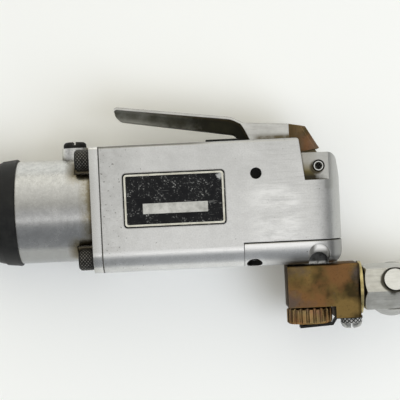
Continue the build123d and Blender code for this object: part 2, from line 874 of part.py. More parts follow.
def detent_spring():
    """Leaf that holds the wheel up and presses a dimple into its underside."""
    tip_x = wheel_x - leaf_tip_reach
    tab_x0 = wheel_x + wheel_radius + wide_gap + run_gap
    bend_x = wheel_x + wheel_radius
    rear_x = detent_screw_x + detent_head_radius - fit_gap
    sag_y = wheel_foot - run_gap - fit_gap
    tab_y = block_foot
    upper = [(rear_x, tab_y), (tab_x0 + leaf_thick, tab_y), (bend_x, sag_y), (tip_x, sag_y - leaf_sag)]
    lower = [(x, y - leaf_thick) for x, y in reversed(upper)]
    strip = slab(make_face(Polyline(upper + lower, close=True)), leaf_width / 2)
    strip += rod_y(sag_y - leaf_sag - leaf_thick / 2, sag_y, leaf_dimple, wheel_x)
    return strip - rod_y(tab_y - leaf_thick, tab_y, detent_screw_radius + fit_gap, detent_screw_x)


def detent_screw():
    seat = block_foot - leaf_thick
    head = rod_y(seat - detent_head_height, seat, detent_head_radius, detent_screw_x)
    head = fillet(head.edges().group_by(Axis.Y)[0], detent_head_round)
    half = plug_slot / 2
    head -= block(detent_screw_x - half, detent_screw_x + half, seat - detent_head_height,
                  seat - detent_head_height / 2, -detent_head_radius, detent_head_radius)
    return head + rod_y(seat, detent_screw_top, detent_screw_radius, detent_screw_x)


def swivel_gland():
    body = rod_x(block_x1 - gland_length, block_x1, gland_radius, swivel_y)
    body += rod_x(block_x1, gland_face, gland_flange_radius, swivel_y)
    return body - rod_x(block_x1 - gland_length, gland_face, swivel_spigot_radius + fit_gap, swivel_y)


def swivel_seal():
    inner = swivel_spigot_radius + run_gap
    return ring_x(gland_face, hex_left - run_gap, inner + swivel_seal_width, inner, swivel_y)


def on_swivel(piece):
    """Places a piece drawn about the swivel axis, leaning as the photographed swivel does."""
    return Pos(0, swivel_y, 0) * Rot(swivel_lean, 0, 0) * piece


def clip_ring(outer):
    x1 = block_x1 - gland_length - run_gap
    return ring_x(x1 - clip_thick, x1, outer, swivel_spigot_radius - clip_depth)


def swivel_clip():
    return on_swivel(clip_ring(swivel_spigot_radius + clip_depth))


def swivel_body():
    flat = swivel_hex / 2
    tip = swivel_hex / math.sqrt(3)
    end = swivel_pin_x + tip
    body = hex_x(hex_left, end, swivel_hex) & hex_ends(hex_left, end + tip, swivel_hex)
    rounded = rod_z(-flat, flat, tip, swivel_pin_x, 0)
    rounded += block(hex_left, swivel_pin_x, -tip, tip, -flat, flat)
    body &= rounded
    body -= rod_z(-flat, 0, eye_radius + run_gap, swivel_pin_x, 0)
    body -= block(swivel_pin_x - tail_neck_radius - run_gap, end, -tip, tip, -flat, 0)
    spigot_end = block_x1 - gland_length - run_gap - 2 * clip_thick
    body += rod_x(spigot_end, hex_left, swivel_spigot_radius)
    body -= rod_x(spigot_end, swivel_pin_x, swivel_bore)
    body -= clip_ring(swivel_spigot_radius + clip_depth)
    body -= rod_z(-flat, flat, swivel_pin_radius + press_gap, swivel_pin_x, 0)
    body -= rod_z(flat - clip_thick, flat, swivel_pin_radius + clip_depth, swivel_pin_x, 0)
    return on_swivel(body)


def swivel_pin():
    """Hollow bolt that the tail turns on, with ports at both levels of the air way."""
    flat = swivel_hex / 2
    head_top = -seam_gap - run_gap - eye_thick
    body = rod_z(head_top, flat + seam_gap, swivel_pin_radius, swivel_pin_x, 0)
    body += rod_z(head_top - swivel_pin_head_thick, head_top, swivel_pin_head, swivel_pin_x, 0)
    tail_level = -run_gap - eye_thick / 2
    body -= rod_z(head_top + clip_thick, swivel_bore, swivel_bore, swivel_pin_x, 0)
    port = swivel_bore - clip_depth
    reach = swivel_pin_x + swivel_pin_radius
    body -= rod_x(swivel_pin_x - swivel_pin_radius, swivel_pin_x, port)
    return on_swivel(body - rod_x(swivel_pin_x, reach, port, 0, tail_level))


def pivot_ring(outer):
    """Ring in the face of the tail's eye, round the pin."""
    foot = -run_gap - clip_thick
    ring = rod_z(foot, -run_gap, outer, swivel_pin_x, 0)
    return ring - rod_z(foot, -run_gap, swivel_pin_radius + clip_thick, swivel_pin_x, 0)


def pivot_seal():
    return on_swivel(pivot_ring(swivel_pin_radius + 2 * clip_thick))


def swivel_tail():
    level = -run_gap - eye_thick / 2
    low = -run_gap - eye_thick
    hex_x0 = swivel_pin_x + tail_neck
    barrel = rod_x(swivel_pin_x, hex_x0, tail_neck_radius, 0, level)
    nut = hex_x(hex_x0, tail_end, swivel_hex) & hex_ends(hex_x0, tail_end, swivel_hex)
    barrel += Pos(0, 0, level) * nut
    tip = swivel_hex / math.sqrt(3)
    barrel -= rod_z(-run_gap, swivel_hex, math.hypot(swivel_pin_reach, tip) + run_gap, swivel_pin_x, 0)
    barrel -= rod_z(-2 * swivel_hex, low, swivel_pin_head + wide_gap, swivel_pin_x, 0)
    body = barrel + rod_z(low, -run_gap, eye_radius, swivel_pin_x, 0)
    body -= rod_x(swivel_pin_x, tail_end, swivel_bore, 0, level)
    body -= rod_x(tail_end - inlet_depth, tail_end, inlet_radius, 0, level)
    body -= rod_z(low, -run_gap, swivel_pin_radius + fit_gap, swivel_pin_x, 0)
    return on_swivel(body - pivot_ring(swivel_pin_radius + 2 * clip_thick))


def jaw(x0, x1, inner, outer, start):
    """Driving lug on one side, from one radius to another, turned to its start angle."""
    lug = block(x0, x1, 0, outer, 0, hammer_lug_width) & rod_x(x0, x1, outer)
    return Rot(start, 0, 0) * (lug - rod_x(x0, x1, inner))


def hammer_span(index):
    """Front and rear faces of one of the two hammers."""
    rear = hammer_rear - index * (hammer_length + hammer_gap)
    return rear - hammer_length, rear


def anvil():
    rear = cage_rear - cage_rear_disc - seam_gap
    body = rod_x(anvil_shoulder, rear, anvil_radius)
    body += rod_x(rear, rear + anvil_pilot_length, anvil_pilot_radius)
    for index in range(2):
        x0, x1 = hammer_span(index)
        body += jaw(x0, x1, anvil_radius - wide_gap, anvil_radius + anvil_jaw_height, 180 * index)
    half = drive_square / 2
    square = block(anvil_shoulder - drive_length, anvil_shoulder, -half, half, -half, half)
    square = chamfer(square.edges().group_by(Axis.X)[0], boot_lip_round)
    return body + square - socket_groove()


def socket_groove():
    """Ring that the socket retainer sits in, on the corners of the square."""
    x0 = anvil_shoulder - drive_length / 2
    return ring_x(x0, x0 + retainer_width, anvil_radius, drive_square / 2 + run_gap)


def socket_retainer():
    """Split ring on the square that holds the socket."""
    x0 = anvil_shoulder - drive_length / 2
    inner = drive_square / 2 + run_gap
    ring = ring_x(x0, x0 + retainer_width, drive_square / math.sqrt(2) - run_gap, inner)
    return ring - block(x0, x0 + retainer_width, 0, anvil_radius, -wide_gap, wide_gap)


def anvil_bushing():
    return ring_x(nose_front + wide_gap, case_floor, bushing_radius, anvil_radius + fit_gap)


def hammer_pin_places():
    return [hammer_pin_circle, -hammer_pin_circle]


def hammer_cage():
    """Two discs joined by two bars, with a splined socket behind and the anvil's pilot in front."""
    rear = rod_x(cage_rear - cage_rear_disc, cage_rear, cage_radius)
    front = rod_x(cage_front, cage_front + cage_front_disc, cage_radius)
    front -= rod_x(cage_front, cage_front + cage_front_disc, anvil_radius + run_gap)
    half = cage_bar_width / 2
    bars = block(cage_front, cage_rear, -half, half, -cage_radius, cage_radius)
    bars &= ring_x(cage_front, cage_rear, cage_radius, cage_radius - cage_bar_thick)
    body = rear + front + bars
    pilot_x = cage_rear - cage_rear_disc
    body -= rod_x(pilot_x, pilot_x + anvil_pilot_length + seam_gap, anvil_pilot_radius + fit_gap)
    body -= splined_bar(cage_rear - spline_depth, cage_rear, fit_gap)
    for y in hammer_pin_places():
        body -= rod_x(cage_front, cage_rear, hammer_pin_radius + press_gap, y)
    return body


def hammer_pins():
    return [rod_x(cage_front, cage_rear - wide_gap, hammer_pin_radius, y) for y in hammer_pin_places()]


def hammers():
    """Two rings that rock on the pins, each with one lug inside to strike the anvil."""
    rings = []
    for index in range(2):
        x0, x1 = hammer_span(index)
        ring = ring_x(x0, x1, hammer_radius, hammer_bore)
        start = 180 * index - hammer_lead
        ring += jaw(x0, x1, anvil_radius + run_gap, hammer_bore + run_gap, start)
        for y in hammer_pin_places():
            ring -= rod_x(x0, x1, hammer_pin_radius + run_gap, y)
        rings.append(ring)
    return rings


def splined_bar(x0, x1, gap):
    """Splined end of the rotor shaft, grown by a gap for the socket that it fits."""
    root = shaft_radius - spline_height
    bar = rod_x(x0, x1, root + gap)
    half = spline_width / 2 + gap
    tip = rod_x(x0, x1, shaft_radius - press_gap + gap)
    for turn in range(spline_teeth):
        tooth = block(x0, x1, 0, shaft_radius + gap, -half, half) & tip
        bar += Rot(360 / spline_teeth * turn, 0, 0) * tooth
    return bar


def blade_bars(gap):
    """Blades dropped into their slots in the rotor, grown by a gap for the slots."""
    x0, x1 = liner_front + run_gap, liner_rear - run_gap
    half = blade_thick / 2 + gap
    foot = rotor_radius - blade_depth - gap
    blades = []
    for turn in range(blade_count):
        blade = block(x0 - gap, x1 + gap, foot, rotor_radius + rotor_offset, -half, half)
        blade &= rod_x(x0 - gap, x1 + gap, rotor_radius - fit_gap + 2 * gap)
        blades.append(Rot(360 / blade_count * turn, 0, 0) * blade)
    return blades


def rotor():
    x0, x1 = liner_front + run_gap, liner_rear - run_gap
    body = rod_x(x0, x1, rotor_radius)
    for slot in blade_bars(fit_gap):
        body -= slot
    body += rod_x(cage_rear, motor_floor - run_gap, shaft_radius)
    return body + splined_bar(cage_rear - spline_depth + run_gap, cage_rear, 0)


def rotor_blades():
    return blade_bars(0)


def cylinder_liner():
    bore_radius = rotor_radius + rotor_offset + rotor_sweep_gap
    body = rod_x(liner_front, liner_rear, motor_bore)
    body -= rod_x(liner_front, liner_rear, bore_radius, rotor_offset)
    body -= rod_x(liner_front, liner_rear, dowel_radius + fit_gap, dowel_y())
    for z in (-rotor_radius / 2, rotor_radius / 2):
        body -= rod_y(-motor_bore, 0, feed_radius, exhaust_x, z)
    return body


def dowel_y():
    """Height of the dowel, in the thick side of the liner."""
    inner = rotor_radius + rotor_sweep_gap
    return -(inner + motor_bore) / 2


def end_plate(x0, pocket_x0):
    body = rod_x(x0, x0 + end_plate_thick, motor_bore)
    body -= rod_x(x0, x0 + end_plate_thick, shaft_radius + run_gap)
    body -= rod_x(pocket_x0, pocket_x0 + bearing_width, bearing_radius + press_gap)
    return body - rod_x(x0, x0 + end_plate_thick, dowel_radius + fit_gap, dowel_y())


def front_end_plate():
    return end_plate(spigot_length, spigot_length)


def rear_end_plate():
    body = end_plate(liner_rear, liner_rear + end_plate_lip)
    return body - rod_x(liner_rear, motor_floor, feed_radius, (bearing_radius + motor_bore) / 2)


def cylinder_dowel():
    return rod_x(spigot_length + run_gap, motor_floor - run_gap, dowel_radius, dowel_y())


def bearing_places():
    """Front faces of the two ball bearings."""
    return [spigot_length, liner_rear + end_plate_lip]


def ball_circle():
    return (shaft_radius + bearing_radius) / 2


def ball_radius():
    return (bearing_radius - shaft_radius) / 2 - bearing_race + wide_gap


def ball_track(x0):
    """Groove for the balls, a torus about the shaft."""
    middle = x0 + bearing_width / 2
    return Pos(middle, 0, 0) * Rot(0, 90, 0) * Torus(ball_circle(), ball_radius() + fit_gap)


def outer_races():
    races = []
    for x0 in bearing_places():
        ring = ring_x(x0, x0 + bearing_width, bearing_radius, bearing_radius - bearing_race)
        races.append(ring - ball_track(x0))
    return races


def inner_races():
    races = []
    for x0 in bearing_places():
        ring = ring_x(x0, x0 + bearing_width, shaft_radius + bearing_race, shaft_radius + press_gap)
        races.append(ring - ball_track(x0))
    return races


def bearing_balls():
    balls = []
    for x0 in bearing_places():
        for turn in range(ball_count):
            spin = Rot(360 / ball_count * turn, 0, 0)
            balls.append(spin * Pos(x0 + bearing_width / 2, ball_circle(), 0) * Sphere(ball_radius()))
    return balls


NODES = [
    motor_housing, hammer_case, nose_boot, flange_gasket, case_screws, case_lock_washers, oil_plug,
    name_plate, throttle_lever, lever_stop, lever_heel, lever_pin, cross_pin, throttle_bushing,
    throttle_plunger, plunger_seal, throttle_valve, throttle_spring, exhaust_cover, inlet_nipple,
    inlet_screen, regulator_body, regulator_wheel, regulator_spindle, spindle_seal, detent_spring,
    detent_screw, swivel_gland, swivel_seal, swivel_clip, swivel_body, swivel_pin, pivot_seal, swivel_tail,
    anvil, socket_retainer, anvil_bushing, hammer_cage, hammer_pins, hammers, rotor, rotor_blades,
    cylinder_liner, front_end_plate, rear_end_plate, cylinder_dowel, outer_races, inner_races,
    bearing_balls,
]


def write_node(make):
    """Writes one node's solids in the part's frame."""
    made = make()
    pieces = made if isinstance(made, list) else [made]
    place = Pos(-origin_x, 0, half_width)
    solids = [place * solid for piece in pieces for solid in piece.solids()]
    export_step(Compound(children=solids), f"parts/{make.__name__}.step")


os.makedirs("parts", exist_ok=True)
for make in NODES:
    write_node(make)
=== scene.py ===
import json
import math
from functools import cached_property

import bpy
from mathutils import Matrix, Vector


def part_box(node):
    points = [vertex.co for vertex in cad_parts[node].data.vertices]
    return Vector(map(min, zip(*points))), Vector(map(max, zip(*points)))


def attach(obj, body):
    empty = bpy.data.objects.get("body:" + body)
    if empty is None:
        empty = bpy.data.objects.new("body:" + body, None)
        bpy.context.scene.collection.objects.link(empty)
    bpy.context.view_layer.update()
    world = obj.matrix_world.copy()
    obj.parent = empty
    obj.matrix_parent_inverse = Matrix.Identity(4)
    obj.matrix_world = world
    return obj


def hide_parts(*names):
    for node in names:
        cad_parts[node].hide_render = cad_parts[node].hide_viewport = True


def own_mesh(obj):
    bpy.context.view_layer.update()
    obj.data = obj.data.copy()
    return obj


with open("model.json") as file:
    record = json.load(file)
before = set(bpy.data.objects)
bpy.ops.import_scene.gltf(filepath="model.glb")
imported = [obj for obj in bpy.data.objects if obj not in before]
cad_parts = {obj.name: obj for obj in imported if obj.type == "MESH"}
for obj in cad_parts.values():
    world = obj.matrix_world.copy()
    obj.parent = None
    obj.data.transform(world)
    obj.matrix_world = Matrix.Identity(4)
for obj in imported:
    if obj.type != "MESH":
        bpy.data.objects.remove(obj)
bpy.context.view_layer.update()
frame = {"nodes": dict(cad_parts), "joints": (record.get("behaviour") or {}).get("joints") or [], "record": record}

MM = 0.001
nodes = frame["nodes"]


def joint_row(name):
    return next(row for row in frame["joints"] if row["name"] == name)


def middle_of(node):
    low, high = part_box(node)
    return (low + high) / 2


# Places that the paints refer to, from the frame.
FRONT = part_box("motor_housing")[0].x
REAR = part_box("motor_housing")[1].x
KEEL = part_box("motor_housing")[0].y
MIDDLE_Z = middle_of("motor_housing").z
COVER_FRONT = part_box("exhaust_cover")[0].x
COVER_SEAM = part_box("exhaust_cover")[1].y
FLANGE_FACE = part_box("case_lock_washers")[1].x
NIPPLE_X = middle_of("inlet_nipple").x
BLOCK_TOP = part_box("regulator_body")[1].y
PIN = Vector(joint_row("lever_squeeze")["pos_m"])
PIN_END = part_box("lever_pin")[1].z - MIDDLE_Z
PIN_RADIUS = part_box("lever_pin")[1].x - PIN.x
HEEL_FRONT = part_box("lever_heel")[0].x
HEEL_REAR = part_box("lever_heel")[1].x
LEVER_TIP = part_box("throttle_lever")[0].x

# Sizes that no box gives: a case screw's head, and the groove round the swivel pin's end.
CAP_RADIUS = 4.75 * MM
FOLD_RIM = 5.9 * MM


class Nodes:
    """Adds shader nodes to one tree."""

    def __init__(self, tree):
        self.tree = tree

    def add(self, kind, **settings):
        node = self.tree.nodes.new(kind)
        for key, value in settings.items():
            setattr(node, key, value)
        return node

    def feed(self, socket, value):
        """Links a socket, or writes a constant into it."""
        if isinstance(value, bpy.types.NodeSocket):
            self.tree.links.new(value, socket)
        else:
            socket.default_value = value

    def math(self, operation, a, b=0.0, clamp=False):
        node = self.add("ShaderNodeMath", operation=operation, use_clamp=clamp)
        self.feed(node.inputs[0], a)
        self.feed(node.inputs[1], b)
        return node.outputs[0]

    def times(self, first, *others):
        for other in others:
            first = self.math("MULTIPLY", first, other)
        return first

    def most(self, first, *others):
        for other in others:
            first = self.math("MAXIMUM", first, other)
        return first

    def dot(self, a, b):
        node = self.add("ShaderNodeVectorMath", operation="DOT_PRODUCT")
        self.feed(node.inputs[0], a)
        self.feed(node.inputs[1], b)
        return node.outputs["Value"]

    def split(self, vector):
        node = self.add("ShaderNodeSeparateXYZ")
        self.feed(node.inputs[0], vector)
        return node.outputs

    def ramp(self, value, low, high, start=0.0, end=1.0):
        """Maps a value between two limits to a number between start and end."""
        node = self.add("ShaderNodeMapRange")
        self.feed(node.inputs["Value"], value)
        node.inputs["From Min"].default_value = low
        node.inputs["From Max"].default_value = high
        node.inputs["To Min"].default_value = start
        node.inputs["To Max"].default_value = end
        return node.outputs["Result"]


class Paint(Nodes):
    """Builds one procedural material. Textures are placed in the part's own frame, in metres."""

    def __init__(self, name, metallic, roughness):
        self.material = bpy.data.materials.new(name)
        self.material.use_nodes = True
        super().__init__(self.material.node_tree)
        self.shader = self.tree.nodes["Principled BSDF"]
        self.shader.inputs["Metallic"].default_value = metallic
        self.shader.inputs["Roughness"].default_value = roughness
        self.place = self.add("ShaderNodeTexCoord").outputs["Object"]
        self.normal = None
        self.edge = None
        self.lean = None

    @cached_property
    def at(self):
        """The point's coordinates, in metres."""
        return self.split(self.place)

    def aside(self):
        """Distance from the middle plane between the two flat sides, in metres."""
        return self.math("ABSOLUTE", self.math("SUBTRACT", self.at["Z"], MIDDLE_Z))

    def upper_edge(self):
        """Where the surface turns over towards the lever's side, as on a rounded upper edge."""
        start = self.ramp(self.lean["Y"], 0.12, 0.4)
        return self.times(start, self.ramp(self.lean["Y"], 0.99, 0.95))

    def off_axis(self, first, a, second, b):
        """Distance of the point from a line, given by two of the three coordinates, in metres."""
        da = self.math("SUBTRACT", first, a)
        db = self.math("SUBTRACT", second, b)
        return self.math("SQRT", self.math("ADD", self.times(da, da), self.times(db, db)))

    def noise(self, scale, detail=3.0, rough=0.55, stretch=(1.0, 1.0, 1.0), shift=0.0):
        """Noise of a given number of features per metre, stretched along the axes if asked."""
        mapping = self.add("ShaderNodeMapping")
        self.feed(mapping.inputs["Vector"], self.place)
        mapping.inputs["Scale"].default_value = stretch
        mapping.inputs["Location"].default_value = (shift, shift, shift)
        node = self.add("ShaderNodeTexNoise")
        self.feed(node.inputs["Vector"], mapping.outputs[0])
        node.inputs["Scale"].default_value = scale
        node.inputs["Detail"].default_value = detail
        node.inputs["Roughness"].default_value = rough
        return node.outputs["Fac"]

    def ragged(self, value, noise, reach):
        """The value, moved up or down by a noise by as much as reach."""
        return self.math("ADD", value, self.ramp(noise, 0.3, 0.7, -reach, reach))

    def mix(self, share, a, b):
        node = self.add("ShaderNodeMix", data_type="RGBA")
        self.feed(node.inputs["Factor"], share)
        self.feed(node.inputs[6], a if isinstance(a, bpy.types.NodeSocket) else (*a, 1.0))
        self.feed(node.inputs[7], b if isinstance(b, bpy.types.NodeSocket) else (*b, 1.0))
        return node.outputs[2]

    def corners(self, distance):
        """How deep a point sits in a corner, from 0 in the open to 1: where grime gathers and where shade is
        painted.
        """
        node = self.add("ShaderNodeAmbientOcclusion", samples=8)
        node.inputs["Distance"].default_value = distance
        return self.math("SUBTRACT", 1.0, node.outputs["AO"], clamp=True)

    def soften(self, radius):
        """Rounds the look of sharp edges, and keeps a mask of where they are."""
        node = self.add("ShaderNodeBevel", samples=4)
        node.inputs["Radius"].default_value = radius
        self.normal = node.outputs[0]
        flat = self.add("ShaderNodeNewGeometry").outputs["True Normal"]
        self.edge = self.ramp(self.dot(self.normal, flat), 0.985, 0.90)
        self.lean = self.split(self.normal)

    def bump(self, height, depth, strength=1.0):
        node = self.add("ShaderNodeBump")
        node.inputs["Strength"].default_value = strength
        node.inputs["Distance"].default_value = depth
        self.feed(node.inputs["Height"], height)
        if self.normal is not None:
            self.feed(node.inputs["Normal"], self.normal)
        self.normal = node.outputs[0]

    def finish(self, colour, roughness=None):
        self.feed(self.shader.inputs["Base Color"], colour)
        if roughness is not None:
            self.feed(self.shader.inputs["Roughness"], roughness)
        if self.normal is not None:
            self.feed(self.shader.inputs["Normal"], self.normal)
        return self.material


class Casting(Paint):
    """Tumbled cast aluminium: satin, cloudy, with fine grain and small pits; grime with painted shade in the
    corners, a painted reflection low down, painted shade towards the rear, and edges worn bright, with a painted
    highlight where edge_share is high.
    """

    def __init__(self, name, edge_share):
        super().__init__(name, 1.0, 0.42)
        self.soften(0.35 * MM)
        x, y = self.at["X"], self.at["Y"]
        self.cloud = self.noise(55.0, 4.0, 0.6)
        self.grain = self.noise(1500.0, 3.0, 0.7)
        self.blotch = self.noise(240.0, 5.0, 0.7, shift=9.0)
        colour = self.mix(self.ramp(self.cloud, 0.3, 0.7), (0.65, 0.65, 0.645), (0.79, 0.79, 0.785))
        # Painted reflection: paler towards the lowest edge, as if it gave back the bright floor.
        low_reflection = self.ramp(y, KEEL + 4.5 * MM, KEEL + 42.5 * MM, 0.55, 0.0)
        colour = self.mix(low_reflection, colour, (0.86, 0.86, 0.86))
        colour = self.mix(self.ramp(self.grain, 0.35, 0.75, 0.0, 0.4), colour, (0.46, 0.46, 0.455))
        blotchy = self.ramp(x, FRONT - 0.5 * MM, FRONT + 18.5 * MM, 0.5, 0.14)
        blotchy = self.times(self.ramp(self.blotch, 0.4, 0.66), blotchy)
        colour = self.mix(blotchy, colour, (0.38, 0.375, 0.36))
        # Painted shade: darker towards the rear, where the rounded end turns away from the light.
        rear_shade = self.ramp(x, REAR - 17.7 * MM, REAR - 3.7 * MM, 0.0, 0.35)
        colour = self.mix(rear_shade, colour, (0.42, 0.42, 0.395))
        # Darker towards the front end.
        darker_front = self.ramp(x, FRONT - 0.5 * MM, FRONT + 22.5 * MM, 0.34, 0.0)
        colour = self.mix(darker_front, colour, (0.44, 0.44, 0.43))
        more_pits = self.ramp(x, FRONT + 0.5 * MM, FRONT + 30.5 * MM, 0.09, 0.012)
        pit_noise = self.math("ADD", self.noise(800.0, 2.0, 0.5, shift=3.0), more_pits)
        self.pit = self.ramp(pit_noise, 0.735, 0.775)
        colour = self.mix(self.times(self.pit, 0.8), colour, (0.22, 0.215, 0.20))
        # Edges made lighter: worn bare where edge_share is low, a painted highlight where it is high, as on the
        # cover.
        self.colour = self.mix(self.times(self.edge, edge_share), colour, (0.97, 0.97, 0.965))
        # Grime in corners and crevices, partly painted shade.
        self.dirt_and_shade = self.ramp(self.corners(1.8 * MM), 0.16, 0.5, 0.0, 0.9)

    def painted_highlight(self):
        """Painted highlight: a bright line where the lower edge starts to turn."""
        turn = self.times(self.ramp(self.lean["Y"], -0.04, -0.14), self.ramp(self.lean["Y"], -0.36, -0.24))
        uneven = self.ramp(self.blotch, 0.34, 0.5, 0.45, 1.0)
        along = self.ramp(self.at["X"], FRONT + 6.5 * MM, FRONT + 66.5 * MM, 0.4, 0.9)
        return self.times(turn, uneven, along)

    def blend_in(self, share, tone):
        self.colour = self.mix(share, self.colour, tone)

    def close(self, painted_highlight, shaded_rim, dirt_and_shade):
        # A painted highlight, painted shade on the upper edge, then grime that is partly painted shade.
        self.blend_in(painted_highlight, (1.0, 1.0, 0.995))
        self.blend_in(shaded_rim, (0.12, 0.115, 0.10))
        self.blend_in(dirt_and_shade, (0.045, 0.038, 0.022))
        self.bump(self.math("SUBTRACT", self.grain, self.times(self.pit, 1.5)), 0.05 * MM, 0.6)
        return self.finish(self.colour, self.ramp(self.cloud, 0.25, 0.75, 0.28, 0.38))


def housing_aluminium():
    """The housing: scuffed and brushed towards its rear, with painted shade at its rear end; in the pocket round
    the lever pin, oil stains together with painted shadow of the pocket's wall and below the pin.
    """
    p = Casting("cast_aluminium", 0.25)
    x, y = p.at["X"], p.at["Y"]
    aside = p.aside()

    scuff = p.ramp(p.noise(150.0, 5.0, 0.75, (0.3, 1.0, 1.0), 21.0), 0.46, 0.62, 0.0, 0.7)
    scuffed = p.times(p.ramp(x, FRONT + 62.5 * MM, FRONT + 70.5 * MM),
                      p.ramp(x, REAR - 16.7 * MM, REAR - 21.7 * MM),
                      p.ramp(y, KEEL + 38.5 * MM, KEEL + 32.5 * MM))
    p.blend_in(p.times(scuff, scuffed), (0.96, 0.96, 0.955))
    brushed = p.ramp(p.noise(1300.0, 3.0, 0.6, (0.07, 1.0, 1.0), 5.0), 0.5, 0.72, 0.0, 0.3)
    brushed = p.times(brushed, p.ramp(x, FRONT + 56.5 * MM, FRONT + 76.5 * MM))
    p.blend_in(brushed, (0.40, 0.40, 0.385))
    # Painted shade: darker still at the very rear end.
    p.blend_in(p.ramp(x, REAR - 5.7 * MM, REAR - 3.2 * MM, 0.0, 0.33), (0.25, 0.25, 0.24))

    # The pocket floor a little darker; then painted shadow cast by the pocket's near wall, darkest into the bottom
    # corner, partly oil stains.
    in_pocket = p.times(p.ramp(aside, PIN_END + 1.6 * MM, PIN_END + 1.0 * MM),
                        p.ramp(aside, PIN_END - 2.0 * MM, PIN_END - 1.5 * MM),
                        p.ramp(x, PIN.x - 9.0 * MM, PIN.x - 8.5 * MM),
                        p.ramp(y, PIN.y + 6.7 * MM, PIN.y + 5.7 * MM),
                        p.ramp(y, PIN.y - 10.8 * MM, PIN.y - 9.8 * MM))
    p.blend_in(p.times(in_pocket, 0.35), (0.36, 0.355, 0.32))
    low = p.ramp(y, PIN.y - 1.3 * MM, PIN.y - 4.6 * MM)
    near_wall = p.math("SUBTRACT", p.ragged(x, p.blotch, 1.5 * MM), p.times(low, 2.5 * MM))
    darkening = p.times(in_pocket, p.ramp(near_wall, PIN.x - 4.5 * MM, PIN.x + 0.5 * MM, 1.0, 0.0),
                    p.ramp(y, PIN.y + 2.2 * MM, PIN.y - 2.3 * MM, 0.3, 0.97))
    olive, tar_and_shadow = (0.17, 0.135, 0.05), (0.024, 0.019, 0.009)
    p.blend_in(darkening, p.mix(low, olive, tar_and_shadow))
    # Painted shadow below and left of the pin.
    off_centre = p.off_axis(x, PIN.x - 0.9 * MM, y, PIN.y - 0.7 * MM)
    halo = p.ramp(off_centre, PIN_RADIUS + 0.3 * MM, PIN_RADIUS + 1.3 * MM, 0.92, 0.0)
    p.blend_in(p.times(in_pocket, halo), (0.05, 0.04, 0.02))

    # Painted shade in the countersink round the lever pin.
    around_pin = p.off_axis(x, PIN.x, y, PIN.y)
    shaded_ring = p.ramp(around_pin, PIN_RADIUS + 0.45 * MM, PIN_RADIUS + 0.65 * MM, 0.95, 0.0)
    shaded_ring = p.times(shaded_ring, p.ramp(aside, PIN_END - 6.0 * MM, PIN_END - 5.0 * MM))
    # Painted shade: the rounded upper edge darkened, as if it gave back the shaded floor beside it.
    shaded_rim = p.times(p.upper_edge(), p.ramp(x, FRONT + 40.5 * MM, FRONT + 50.5 * MM, 0.85, 0.4))
    return p.close(p.painted_highlight(), shaded_rim, p.most(p.dirt_and_shade, shaded_ring))


# The scallop above the nipple: its size, and how far its floor is from the middle plane.
SCALLOP_RADIUS = 4.1 * MM
SCALLOP_FLOOR = 19.4 * MM


def cover_aluminium():
    """The exhaust cover: a painted highlight below its seam and on its edges, a scallop round the nipple painted
    bright above and shaded below, and painted shade underneath towards the nipple and at the rear.
    """
    # Edges at a high share: a painted highlight along the cover's edges.
    p = Casting("cover_aluminium", 0.85)
    x, y = p.at["X"], p.at["Y"]
    around = p.off_axis(x, NIPPLE_X + 0.1 * MM, y, COVER_SEAM - 5.6 * MM)
    scallop = p.times(p.ramp(around, SCALLOP_RADIUS + 0.5 * MM, SCALLOP_RADIUS - 0.5 * MM),
                      p.ramp(p.aside(), SCALLOP_FLOOR + 0.2 * MM, SCALLOP_FLOOR - 0.2 * MM))
    shaded = p.most(p.ramp(y, COVER_SEAM - 3.5 * MM, COVER_SEAM - 5.7 * MM),
                    p.ramp(x, NIPPLE_X - 0.3 * MM, NIPPLE_X - 2.3 * MM))
    # Painted highlight on the scallop's lit floor, painted shade on its lower and left parts.
    p.blend_in(scallop, p.mix(shaded, (0.98, 0.98, 0.975), (0.20, 0.198, 0.19)))
    # Painted highlight: a bright band just below the seam.
    under_seam = p.ramp(y, COVER_SEAM - 3.0 * MM, COVER_SEAM - 1.6 * MM, 0.0, 0.8)
    painted_highlight = p.most(p.times(p.painted_highlight(), 0.35), under_seam)
    painted_highlight = p.times(painted_highlight, p.ramp(x, NIPPLE_X - 2.5 * MM, NIPPLE_X + 2.5 * MM, 1.0, 0.0))
    # Painted shade: the underside darker towards the nipple and the block, and the rear end darker.
    cover_shade = p.times(p.ramp(y, COVER_SEAM - 4.6 * MM, COVER_SEAM - 8.0 * MM),
                   p.ramp(x, COVER_FRONT + 6.3 * MM, COVER_FRONT + 22.3 * MM, 0.0, 0.93))
    cover_shade = p.most(cover_shade, p.ramp(x, REAR - 7.7 * MM, REAR - 5.2 * MM, 0.0, 0.6))
    p.blend_in(cover_shade, (0.09, 0.09, 0.088))
    # Painted shade on the upper edge, as on the housing.
    return p.close(painted_highlight, p.times(p.upper_edge(), 0.9), p.times(p.dirt_and_shade, 0.5))


# Where the case is made lighter above its axis, and darker below it.
CASE_BRIGHT = (10 * MM, 20 * MM)
CASE_DARK = (-13 * MM, -21 * MM)


